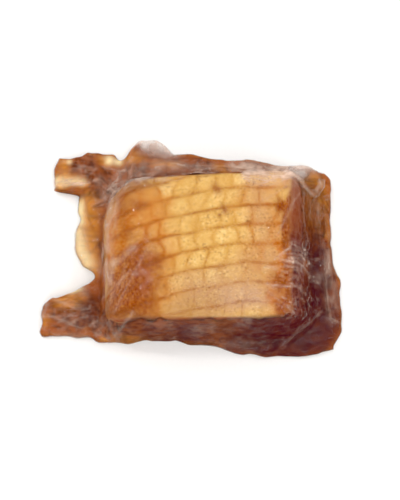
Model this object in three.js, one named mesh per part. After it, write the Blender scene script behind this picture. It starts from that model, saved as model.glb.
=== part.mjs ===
// A block of chashu pork, vacuum-packed with its braising sauce in a clear film pouch.
// Millimetres, +Z up, the rind face on top, the front of the pack towards -Y.
// The sealed pouch is one closed solid out to its film: the block's crowned top and steep sides,
// the sauce-filled skirt and two sauce-filled ears on the left, and the thin seam round the rim.
import * as THREE from "three";

// Driving sizes of the pork block. Each face is a wall in plan: the way it faces (degrees from +X),
// how far it stands from the origin at half its height, and how far it reaches in and out of that line,
// top to foot. Corners are rounded by CORNER_ROUND times the reach, and the back-left one by more.
const FACES = {
  left: { facing: 181, out: 54.5, reach: 4.2 },
  back: { facing: 93.5, out: 43.5, reach: 5.4 },
  right: { facing: 0, out: 72, reach: 11.5 }, // where the lean end slopes out
  front: { facing: 270, out: 53.2, reach: 4.6 },
};
const CORNER_ROUND = 2;
const BACK_LEFT_ROUND = 5.6;
const CROWN_TOP = 59;
const CROWN_FALL = 4;
const WAVE = { height: 0.5, across: 13, deep: 17 };

// The left end of the rolled block is rounder: its top falls away from LEFT_SHOULDER_START to the wall.
const LEFT_SHOULDER_START = -14;
const LEFT_SHOULDER_DROP = 11;

// The pouch: thickness of the sealed rim, depth of the sauce in the skirt, how far in from the rim
// it is fully plump, and how far the rim stands off the surface under the pack.
const SEAM = 1;
const SKIRT_DEPTH = 7.5;
const SKIRT_REACH = 11;
const RIM_LIFT = 1.6;
const UNDERSIDE_REACH = 9;

// The rim is drawn as four edges. Each one keeps to a straight rest line, from its start to its end,
// and swings out or in (mm, along the axis it faces) at the features named beside it.
// Positions along an edge are in mm on the rest lines, left to right or front to back.
const EDGES = {
  left: {
    rest: [-70, -70],
    features: [
      { at: -60, half: 34.2, soft: 9.5, out: -27.5 }, // front ear, its back side running out slantwise
      { at: -58, half: 3.5, soft: 3, out: 2.6 }, // the front ear's blunt front corner
      { at: -36, half: 14, soft: 8, out: 2.6 }, // its end, set back behind that corner
      { at: -13, half: 5, soft: 5, out: 8 }, // notch behind the front ear
      { at: 13, half: 12, soft: 9, out: -5 }, // thin web between the ears
      { at: 37, half: 8, soft: 5, out: -3.5 }, // web reaching out below the back ear
      { at: 60, half: 14.5, soft: 2.5, out: -19 }, // back ear
      { at: 62, half: 5, soft: 5, out: 4 }, // the back ear's blunt tip
    ],
  },
  right: {
    rest: [91.8, 91.8],
    features: [
      { at: -60, half: 7, soft: 7, out: -1.5 }, // front corner
      { at: -35, half: 21, soft: 9, out: 4.7 }, // sauce lobe at the front
      { at: 35, half: 20, soft: 10, out: -0.4 }, // side drawn in behind the lobe
      { at: 61, half: 12, soft: 5, out: -6 }, // back corner
    ],
  },
  front: {
    rest: [-57.3, -57.3],
    features: [
      { at: -70, half: 10.2, soft: 1.2, out: 4.3 }, // front ear, set back a little
      { at: -20, half: 13, soft: 7, out: 1.8 }, // slack place in the middle
      { at: 58, half: 38, soft: 32, out: -8 }, // folded corner flap
      { at: 90, half: 7, soft: 7, out: 0.8 }, // front corner
    ],
  },
  back: {
    rest: [64, 59],
    features: [
      { at: -59, half: 14.5, soft: 6, out: 5.4 }, // back ear
      { at: -70, half: 7.2, soft: 1.5, out: -3.6 }, // lower outer half of the back ear
      { at: -43.5, half: 3.5, soft: 3.5, out: -3 }, // pinch beside the back ear
      { at: -27, half: 9, soft: 5, out: 5 }, // clear flap of empty film
      { at: -28, half: 15, soft: 5, out: 7 }, // sauce at the flap's root
      { at: -3, half: 12, soft: 10, out: 3.3 }, // pleat beside the flap
      { at: 18, half: 34, soft: 14, out: 3.2 }, // film gathered behind the block
      { at: 78, half: 10, soft: 7, out: -0.7 }, // second clear flap
      { at: 90, half: 7, soft: 7, out: -4 }, // back corner
    ],
  },
};

// Sauce pockets that stand higher than the skirt (rise over 0) and thin places (rise under 0).
const POCKETS = [
  { x: -69, y: 55, reach: 22, rise: 7.5 }, // back ear
  { x: -77, y: -40, reach: 23, rise: 9 }, // front ear
  { x: -57, y: -45, reach: 10, rise: 9 }, // film gathered at the block's front-left corner
  { x: -35, y: 57, reach: 13, rise: 6 }, // bump behind the block's back-left corner
  { x: -70, y: 11, reach: 24, rise: -4 }, // web between the ears
  { x: -28, y: 72, reach: 11, rise: -6 }, // clear flap
  { x: 73, y: 60, reach: 9, rise: -5 }, // second clear flap
  { x: 83, y: -34, reach: 24, rise: 5.5 }, // front lobe on the right
  { x: 80, y: 38, reach: 20, rise: 5 }, // back-right corner
];

// Places where the whole rim stands clear of the surface that the pack lies on.
const LIFTS = [
  { x: -28, y: 76, reach: 22, rise: 12 }, // clear flap
  { x: 73, y: 62, reach: 14, rise: 5 }, // second clear flap
  { x: -88, y: 57, reach: 20, rise: 3.5 }, // back ear's tip
  { x: -96, y: -42, reach: 18, rise: 2 }, // front ear's tip
];

// Folds pressed into the film: straight ridges (rise over 0) and grooves (rise under 0),
// which fade out over a share of their length at each end.
const FOLD_FADE = 0.2;
const FOLDS = [
  { from: [-92, 45], to: [-60, 48], half: 4, rise: -5 }, // slit along the back ear
  { from: [-95, 40.5], to: [-56, 39.5], half: 3.5, rise: 3.5 }, // rolled front edge of the back ear
  { from: [-58, 64], to: [-52, 44], half: 3.5, rise: -4 }, // root of the back ear
  { from: [-96, -47], to: [-60, -50], half: 4, rise: -4.5 }, // ledge along the front ear
  { from: [-92, -33], to: [-62, -24], half: 4, rise: 3 }, // top of the front ear
  { from: [52, -62], to: [85, -34], half: 3, rise: 3.5 }, // edge of the folded corner flap
  { from: [87, -42], to: [86, -6], half: 3, rise: -3.5 }, // pleat down the right side
  { from: [62, 52], to: [84, 40], half: 4, rise: 4 }, // curled pleat in the back-right corner
  { from: [84, 36], to: [85, 6], half: 3, rise: -3 }, // gather below it
];

// The surface grid: cells from the rim to the block's wall, over the wall, over the top, and so on to
// the far rim. The rows of a wall start at its foot and go on SHOULDER past its middle.
const CELLS_ACROSS = [7, 11, 12, 11, 7];
const CELLS_DEEP = [5, 9, 12, 11, 5];
const SHOULDER = 13;
const WALL_SHARE_OF_GAP = 0.8;
const COLUMNS = CELLS_ACROSS.reduce((sum, count) => sum + count, 0);
const ROWS = CELLS_DEEP.reduce((sum, count) => sum + count, 0);

const { degToRad } = THREE.MathUtils;
const clamp01 = (value) => Math.min(1, Math.max(0, value));
const mix = (a, b, share) => a + (b - a) * share;

// 0 below start, 1 above end, smooth between.
function smoothStep(start, end, value) {
  const share = clamp01((value - start) / (end - start));
  return share * share * share * (share * (6 * share - 15) + 10);
}

// 1 within half of a position, falling smoothly to 0 over soft on each side.
function plateau(position, { at, half, soft }) {
  return 1 - smoothStep(half - soft, half + soft, Math.abs(position - at));
}

// A smooth round mound, 1 at its middle and 0 at its reach.
function mound(x, y, { x: middleX, y: middleY, reach }) {
  const share = clamp01(Math.hypot(x - middleX, y - middleY) / reach);
  return (1 - share * share) ** 2;
}

// How much of a fold is felt at a place, from its distance to the fold's line.
function foldShare(x, y, { from, to, half }) {
  const along = [to[0] - from[0], to[1] - from[1]];
  const length = along[0] ** 2 + along[1] ** 2;
  const share = clamp01(((x - from[0]) * along[0] + (y - from[1]) * along[1]) / length);
  const distance = Math.hypot(x - from[0] - share * along[0], y - from[1] - share * along[1]);
  const fadeAtEnds = smoothStep(0, FOLD_FADE, share) * (1 - smoothStep(1 - FOLD_FADE, 1, share));
  return fadeAtEnds * Math.exp(-((distance / half) ** 2));
}

// Where an edge of the rim lies, at a share of its length and a position along its rest line.
function edgeAt({ rest, features }, share, position) {
  const swing = features.reduce((sum, feature) => sum + feature.out * plateau(position, feature), 0);
  return mix(rest[0], rest[1], share) + swing;
}

// Where grid line number line lies between two rims, the lines being close together at the block's walls.
function gridLine(line, cells, [lowRim, highRim], [low, high]) {
  const stops = [
    lowRim,
    low.wall - Math.min(low.reach, WALL_SHARE_OF_GAP * (low.wall - lowRim)),
    low.wall + SHOULDER,
    high.wall - SHOULDER,
    high.wall + Math.min(high.reach, WALL_SHARE_OF_GAP * (highRim - high.wall)),
    highRim,
  ];
  let lineInBand = line;
  let band = 0;
  while (lineInBand > cells[band]) {
    lineInBand -= cells[band];
    band += 1;
  }
  return mix(stops[band], stops[band + 1], lineInBand / cells[band]);
}

// The way a face looks in plan, as a unit vector.
const outwards = ({ facing }) => ({ x: Math.cos(degToRad(facing)), y: Math.sin(degToRad(facing)) });

// Where a face's wall crosses the line at a given y or x, at half its height.
const wallX = (face, y) => (face.out - y * outwards(face).y) / outwards(face).x;
const wallY = (face, x) => (face.out - x * outwards(face).x) / outwards(face).y;

// How far a place lies past a face, in times the face's reach.
const pastFace = (face, x, y) => (x * outwards(face).x + y * outwards(face).y - face.out) / face.reach;

// 1 over the block, 0 on the skirt round it. The faces' distances are joined the way a rounded box's are.
function wallShare(x, y) {
  const past = {};
  for (const [name, face] of Object.entries(FACES)) past[name] = pastFace(face, x, y);
  const sideways = Math.max(past.left, past.right);
  const lengthways = Math.max(past.front, past.back);
  const atBackLeft = past.left > past.right && past.back > past.front;
  const round = atBackLeft ? BACK_LEFT_ROUND : CORNER_ROUND;
  const outside = Math.hypot(Math.max(sideways + round, 0), Math.max(lengthways + round, 0));
  const inside = Math.min(Math.max(sideways, lengthways) + round, 0);
  return 1 - smoothStep(-1, 1, outside + inside - round);
}

// The block's top under the film: a low crown, a rounder left shoulder and a slow waviness.
function blockTop(x, y) {
  const [left, right] = [wallX(FACES.left, 0), wallX(FACES.right, 0)];
  const [front, back] = [wallY(FACES.front, 0), wallY(FACES.back, 0)];
  const across = (2 * (x - left)) / (right - left) - 1;
  const deep = (2 * (y - front)) / (back - front) - 1;
  const crown = (CROWN_FALL * (across ** 2 + deep ** 2)) / 2;
  const downShoulder = clamp01((LEFT_SHOULDER_START - x) / (LEFT_SHOULDER_START - left));
  const waviness = WAVE.height * Math.sin(x / WAVE.across) * Math.sin(y / WAVE.deep);
  return CROWN_TOP - crown - LEFT_SHOULDER_DROP * downShoulder ** 2 + waviness;
}

// One point of the grid in plan, with its distance from the nearest rim.
function planPoint(column, row) {
  const standing = (wallAt, position) => (face) => ({ wall: wallAt(face, position), reach: face.reach });
  const wallsX = (y) => [FACES.left, FACES.right].map(standing(wallX, y));
  const wallsY = (x) => [FACES.front, FACES.back].map(standing(wallY, x));
  const { left, right, front, back } = EDGES;
  const restX = gridLine(column, CELLS_ACROSS, [left.rest[0], right.rest[0]], wallsX(0));
  const restY = gridLine(row, CELLS_DEEP, [front.rest[0], back.rest[1]], wallsY(0));
  const acrossShare = column / COLUMNS;
  const deepShare = row / ROWS;
  const rimX = [edgeAt(left, deepShare, restY), edgeAt(right, deepShare, restY)];
  const rimY = [edgeAt(front, acrossShare, restX), edgeAt(back, acrossShare, restX)];
  const x = gridLine(column, CELLS_ACROSS, rimX, wallsX(restY));
  const y = gridLine(row, CELLS_DEEP, rimY, wallsY(restX));
  return { x, y, fromRim: Math.min(x - rimX[0], rimX[1] - x, y - rimY[0], rimY[1] - y) };
}

const sumOf = (features, shareAt) => features.reduce((sum, item) => sum + item.rise * shareAt(item), 0);

// Height of the lower film: flat on the surface, rising to the lifted rim.
function undersideHeight({ x, y, fromRim }) {
  const lift = RIM_LIFT + sumOf(LIFTS, (spot) => mound(x, y, spot));
  return lift * (1 - smoothStep(0, UNDERSIDE_REACH, fromRim));
}

// Height of the upper film: the sauce skirt with its pockets and folds, then up the block's wall to its top.
function topHeight(point) {
  const { x, y, fromRim } = point;
  const plumpness = Math.sqrt(1 - (1 - clamp01(fromRim / SKIRT_REACH)) ** 2);
  const pocket = sumOf(POCKETS, (spot) => mound(x, y, spot));
  const fold = sumOf(FOLDS, (line) => foldShare(x, y, line));
  const skirt = undersideHeight(point) + SEAM + Math.max(0, SKIRT_DEPTH + pocket + fold) * plumpness;
  return mix(skirt, blockTop(x, y), wallShare(x, y) * smoothStep(0, SEAM, fromRim));
}

// The closed skin: an upper and a lower sheet of grid points, joined by the narrow band of the rim.
function makePouch() {
  const positions = [];
  for (const height of [undersideHeight, topHeight]) {
    for (let row = 0; row <= ROWS; row += 1) {
      for (let column = 0; column <= COLUMNS; column += 1) {
        const point = planPoint(column, row);
        positions.push(point.x, point.y, height(point));
      }
    }
  }
  const lower = (column, row) => row * (COLUMNS + 1) + column;
  const upper = (column, row) => lower(column, row) + (COLUMNS + 1) * (ROWS + 1);
  const heightOf = (corner) => positions[3 * corner + 2];

  // A cell is split along its more level diagonal, so that the creases follow the walls.
  const triangles = [];
  const addCell = (a, b, c, d) => {
    const levelFirst = Math.abs(heightOf(a) - heightOf(c)) < Math.abs(heightOf(b) - heightOf(d));
    triangles.push(...(levelFirst ? [a, b, c, a, c, d] : [a, b, d, b, c, d]));
  };
  for (let row = 0; row < ROWS; row += 1) {
    for (let column = 0; column < COLUMNS; column += 1) {
      addCell(upper(column, row), upper(column + 1, row), upper(column + 1, row + 1), upper(column, row + 1));
      addCell(lower(column, row), lower(column, row + 1), lower(column + 1, row + 1), lower(column + 1, row));
    }
  }
  const addRim = (from, to) => addCell(lower(...from), lower(...to), upper(...to), upper(...from));
  for (let column = 0; column < COLUMNS; column += 1) {
    addRim([column, 0], [column + 1, 0]);
    addRim([column + 1, ROWS], [column, ROWS]);
  }
  for (let row = 0; row < ROWS; row += 1) {
    addRim([COLUMNS, row], [COLUMNS, row + 1]);
    addRim([0, row + 1], [0, row]);
  }

  const geometry = new THREE.BufferGeometry();
  geometry.setAttribute("position", new THREE.Float32BufferAttribute(positions, 3));
  geometry.setIndex(triangles);
  geometry.computeBoundingBox();
  const middle = geometry.boundingBox.getCenter(new THREE.Vector3());
  geometry.translate(-middle.x, -middle.y, -geometry.boundingBox.min.z);
  geometry.computeVertexNormals();
  return geometry;
}

const pack = new THREE.Group();
const pouch = new THREE.Mesh(
  makePouch(),
  new THREE.MeshStandardMaterial({ color: "#b8793f", roughness: 0.25, metalness: 0 }),
);
pouch.name = "sealed_pouch";
pack.add(pouch);

export default pack;
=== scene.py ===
"""A block of chashu pork, vacuum-packed with its braising sauce in a clear film pouch.

The pouch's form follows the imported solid: the same rim, block faces, pockets and folds, in millimetres.
Three pieces are made over it at a finer grain: the pork block, the sauce round it and the film skin.
"""

from __future__ import annotations

import logging
import math
from dataclasses import dataclass, field, replace
from enum import Enum, IntEnum

import bpy
import numpy as np
from bpy.types import Material, Node, NodeSocket, NodeTree, Object
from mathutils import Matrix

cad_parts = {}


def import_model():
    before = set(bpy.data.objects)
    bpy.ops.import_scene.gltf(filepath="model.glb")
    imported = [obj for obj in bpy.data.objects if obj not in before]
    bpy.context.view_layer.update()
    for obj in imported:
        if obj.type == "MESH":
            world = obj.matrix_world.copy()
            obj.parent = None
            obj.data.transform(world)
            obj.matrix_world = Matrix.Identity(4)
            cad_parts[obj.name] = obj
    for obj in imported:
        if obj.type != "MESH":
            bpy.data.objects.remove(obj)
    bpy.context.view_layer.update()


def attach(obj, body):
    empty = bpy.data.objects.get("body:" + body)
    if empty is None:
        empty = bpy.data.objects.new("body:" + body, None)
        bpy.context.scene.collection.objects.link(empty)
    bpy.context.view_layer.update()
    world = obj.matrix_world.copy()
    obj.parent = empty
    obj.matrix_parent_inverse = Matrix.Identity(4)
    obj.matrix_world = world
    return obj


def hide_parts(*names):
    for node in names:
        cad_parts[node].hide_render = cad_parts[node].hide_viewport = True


Array = np.ndarray
Pair = tuple[float, float]
# A broken line's corners in plan, mm
Line = tuple[Pair, ...]
# Where two facing walls lie, each with its reach, mm
Walls = tuple[tuple[Array, float], tuple[Array, float]]
MM = 0.001
BODY = "root"
POUCH_NODE = "sealed_pouch"
# Cells of the coarse grid that the pouch's box is measured on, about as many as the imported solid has
COARSE_ACROSS = (8, 12, 12, 12, 8)
COARSE_DEEP = (6, 10, 12, 12, 6)
# The least length that anything is divided by
TINY = 1e-9

log = logging.getLogger("chashu")


class Slot(Enum):
    """The record's material slots."""

    FILM = "film"
    PORK = "pork"
    SAUCE = "sauce"


class Mark(Enum):
    """The named masks that the pieces carry and their finishes read."""

    CREAM = "cream"
    PALE = "pale"
    ORANGE = "orange"
    RUST = "rust"
    SOAKED_AND_SHADE = "soaked_and_shade"
    CORD = "cord"
    BLOTCH = "blotch"
    PORE = "pore"
    FAT = "fat"
    LEAN = "lean"
    BRUISE = "bruise"
    VEIN = "vein"
    AMBER = "amber"
    STRAW_AND_HIGHLIGHT = "straw_and_highlight"
    UMBER_AND_SHADE = "umber_and_shade"
    PLUM = "plum"
    FLECK = "fleck"
    COVER = "cover"
    HAZE_AND_HIGHLIGHTS = "haze"
    RUCK = "ruck"
    ACROSS = "across"
    ALONG = "along"
    SEAM = "seam"


# A piece's marks: a number from 0 to 1 at each point
Marks = dict[Mark, Array]


class Seed(IntEnum):
    """Which noise each pattern is drawn from, so that no two look alike."""

    LUMPS = 21
    RAGGED = 23
    BELLY = 31
    RIND_DRIFT_X = 51
    RIND_DRIFT_Y = 55
    RIND_GRAIN = 61
    SAUCE_DRIFT_X = 81
    SAUCE_EDGE = 83
    SAUCE_DRIFT_Y = 85
    SAUCE_MOTTLE = 87
    FLECKS = 91
    BRUISE_EDGE = 95
    BUNDLE_BEND = 96
    BUNDLES = 97
    FRAY_X = 301
    FRAY_Y = 302
    RIM_WAVE = 303


# Shared numbers and noise


def linear(colour: str) -> tuple[float, float, float, float]:
    """Turn an sRGB hex colour into linear light.

    Args:
        colour: The colour as six hex digits after a hash.

    Returns:
        Linear red, green and blue, and an alpha of 1.
    """
    channels = [int(colour[i : i + 2], 16) / 255 for i in (1, 3, 5)]
    low, high = 0.04045, 2.4
    red, green, blue = (c / 12.92 if c <= low else ((c + 0.055) / 1.055) ** high for c in channels)
    return red, green, blue, 1.0


def smooth_step(start: float, end: float, value: Array) -> Array:
    """Rise smoothly from 0 at start to 1 at end.

    Args:
        start: Where the rise begins.
        end: Where it is complete.
        value: The numbers to judge.

    Returns:
        The share of the rise at each number.
    """
    share = np.clip((np.asarray(value) - start) / (end - start), 0, 1)
    return share**3 * (share * (6 * share - 15) + 10)


def mix(low: Array, high: Array, share: Array) -> Array:
    """Go from low to high by a share."""
    return low + (high - low) * share


def lattice_noise(points: Array, size: float, seed: int) -> Array:
    """Smooth noise between -1 and 1, from a seeded lattice of random numbers.

    Args:
        points: Places in mm, with x, y and z along the last axis.
        size: The lattice's cell in mm.
        seed: Which lattice.

    Returns:
        One number for each place.
    """
    count = 32
    table = np.random.default_rng(seed).uniform(-1, 1, (count, count, count))
    scaled = points / size
    cell = np.floor(scaled).astype(int)
    part = scaled - cell
    part = part * part * (3 - 2 * part)
    total = np.zeros(points.shape[:-1])
    for corner in np.ndindex(2, 2, 2):
        weight = np.prod(np.where(np.array(corner) == 1, part, 1 - part), axis=-1)
        index = tuple(np.moveaxis((cell + corner) % count, -1, 0))
        total += weight * table[index]
    return total


def layered_noise(points: Array, size: float, seed: int, layers: int = 3) -> Array:
    """Noise with finer layers on top, each half as large and half as strong.

    Args:
        points: Places in mm.
        size: The coarsest layer's cell in mm.
        seed: Which noise.
        layers: How many layers.

    Returns:
        One number for each place, about -1 to 1.
    """
    total = sum(lattice_noise(points, size / 2**i, seed + i) / 2**i for i in range(layers))
    return total / (2 - 2.0 ** (1 - layers))


def nearest_two(x: Array, y: Array, size: float, seed: int) -> tuple[Array, Array]:
    """Measure how far places in plan lie from the two nearest points of a shaken lattice.

    Args:
        x, y: Places, mm.
        size: The lattice's cell in mm.
        seed: Which lattice.

    Returns:
        The two distances, in times the lattice's cell.
    """
    count = 64
    shake = np.random.default_rng(seed).uniform(0, 1, (count, count, 2))
    u, v = x / size, y / size
    cell_u, cell_v = np.floor(u).astype(int), np.floor(v).astype(int)
    nearest, second = np.full(x.shape, np.inf), np.full(x.shape, np.inf)
    for step in np.ndindex(3, 3):
        i, j = cell_u + step[0] - 1, cell_v + step[1] - 1
        spot = shake[i % count, j % count]
        gap = np.hypot(i + spot[..., 0] - u, j + spot[..., 1] - v)
        second = np.minimum(second, np.maximum(nearest, gap))
        nearest = np.minimum(nearest, gap)
    return nearest, second


def flat_points(x: Array, y: Array) -> Array:
    """Stack plan positions into points at no height."""
    return np.stack([x, y, np.zeros_like(x)], axis=-1)


def distance_to_line(x: Array, y: Array, points: Line) -> tuple[Array, Array]:
    """Measure how far places lie from a broken line in plan.

    Args:
        x, y: Places, mm.
        points: The line's corners, mm.

    Returns:
        The distance to the line, below 0 on its right side, and the share of its length at the nearest point.
    """
    corners = np.array(points, float)
    if len(corners) == 1:
        return np.hypot(x - corners[0, 0], y - corners[0, 1]), np.full(x.shape, 0.5)
    lengths = np.hypot(*np.diff(corners, axis=0).T)
    starts = np.concatenate([[0], np.cumsum(lengths)])
    nearest = np.full(x.shape, np.inf)
    along = np.zeros(x.shape)
    for i, length in enumerate(lengths):
        step = (corners[i + 1] - corners[i]) / length
        reach = np.clip((x - corners[i, 0]) * step[0] + (y - corners[i, 1]) * step[1], 0, length)
        off_x, off_y = x - corners[i, 0] - reach * step[0], y - corners[i, 1] - reach * step[1]
        gap = np.where(step[0] * off_y < step[1] * off_x, -1, 1) * np.hypot(off_x, off_y)
        closer = np.abs(gap) < np.abs(nearest)
        nearest = np.where(closer, gap, nearest)
        along = np.where(closer, (starts[i] + reach) / starts[-1], along)
    return nearest, along


@dataclass(frozen=True)
class Stroke:
    """A soft brush stroke along a broken line in plan, or a dab at one point.

    Attributes:
        points: The line's corners, mm.
        half: Half its width, mm.
        strength: How much it covers along its middle, 0 to 1.
    """

    points: Line
    half: float
    strength: float = 1.0

    def share(self, x: Array, y: Array) -> Array:
        """Give how much the stroke covers places in plan."""
        gap, _ = distance_to_line(x, y, self.points)
        return self.strength * np.exp(-((gap / self.half) ** 2))


Strokes = tuple[Stroke, ...]


def painted(strokes: Strokes, x: Array, y: Array) -> Array:
    """Lay strokes over each other.

    Args:
        strokes: The strokes.
        x, y: Places, mm.

    Returns:
        How much of each place is covered, 0 to 1.
    """
    bare = np.ones(x.shape)
    for stroke in strokes:
        bare = bare * (1 - np.clip(stroke.share(x, y), 0, 1))
    return 1 - bare


# The pouch's form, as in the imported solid


@dataclass(frozen=True)
class Swing:
    """A place where one edge of the rim swings out or in.

    Attributes:
        at: Middle of the swing along the edge's rest line, mm.
        half: Half its length, mm.
        soft: How gradually it starts and ends, mm.
        out: How far it swings, mm.
    """

    at: float
    half: float
    soft: float
    out: float

    def share(self, position: Array) -> Array:
        """Give the swing's share at positions along the edge."""
        return 1 - smooth_step(self.half - self.soft, self.half + self.soft, np.abs(position - self.at))


@dataclass(frozen=True)
class Edge:
    """One of the rim's four edges: a straight rest line and its swings.

    Attributes:
        rest: The x or y of its rest line at its start and at its end, mm.
        swings: Where it leaves that line.
    """

    rest: Pair
    swings: tuple[Swing, ...]

    def place(self, share: Array, position: Array) -> Array:
        """Give where the edge lies, at shares of its length and positions along its rest line."""
        swing = sum(one.out * one.share(position) for one in self.swings)
        return mix(self.rest[0], self.rest[1], share) + swing


@dataclass(frozen=True)
class Mound:
    """A smooth round rise or hollow in plan, 1 in the middle and 0 at its reach.

    Attributes:
        x, y: Its middle, mm.
        reach: Its radius, mm.
        rise: How far it goes up, or down if below 0, mm.
    """

    x: float
    y: float
    reach: float
    rise: float = 1.0

    def share(self, x: Array, y: Array) -> Array:
        """Give the mound's share at places in plan."""
        part = np.clip(np.hypot(x - self.x, y - self.y) / self.reach, 0, 1)
        return (1 - part**2) ** 2


@dataclass(frozen=True)
class Fold:
    """A straight ridge or groove pressed into the film.

    Attributes:
        start: Where it starts in plan, mm.
        end: Where it ends, mm.
        half: Half its width, mm.
        rise: How far it goes up, or down if below 0, mm.
        fade: The share of its length over which it fades at each end.
    """

    start: Pair
    end: Pair
    half: float
    rise: float
    fade: float = 0.2

    def share(self, x: Array, y: Array) -> Array:
        """Give the fold's share at places in plan.

        Args:
            x, y: Places, mm.

        Returns:
            1 along its middle, 0 well away from it.
        """
        gap, along = distance_to_line(x, y, (self.start, self.end))
        ends = smooth_step(0, self.fade, along) * (1 - smooth_step(1 - self.fade, 1, along))
        return ends * np.exp(-((gap / self.half) ** 2))


@dataclass(frozen=True)
class Face:
    """One upright side of the block in plan.

    Attributes:
        facing: The way it looks, degrees from +X.
        out: How far it stands from the plan's origin at half its height, mm.
        reach: How far it goes in and out of that line from top to foot, mm.
    """

    facing: float
    out: float
    reach: float

    @property
    def outwards(self) -> Pair:
        """The way it looks, as a unit vector."""
        return math.cos(math.radians(self.facing)), math.sin(math.radians(self.facing))

    def line_x(self, y: Array) -> Array:
        """Give the wall's x at a given y."""
        return (self.out - y * self.outwards[1]) / self.outwards[0]

    def line_y(self, x: Array) -> Array:
        """Give the wall's y at a given x."""
        return (self.out - x * self.outwards[0]) / self.outwards[1]

    def past(self, x: Array, y: Array) -> Array:
        """Give how far places lie past the wall, in times its reach."""
        return (x * self.outwards[0] + y * self.outwards[1] - self.out) / self.reach


@dataclass(frozen=True)
class Plan:
    """Grid points in plan, mm, with rows from front to back and columns from left to right.

    Attributes:
        x: Their x.
        y: Their y.
        from_rim: How far inside the rim each lies.
    """

    x: Array
    y: Array
    from_rim: Array


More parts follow.
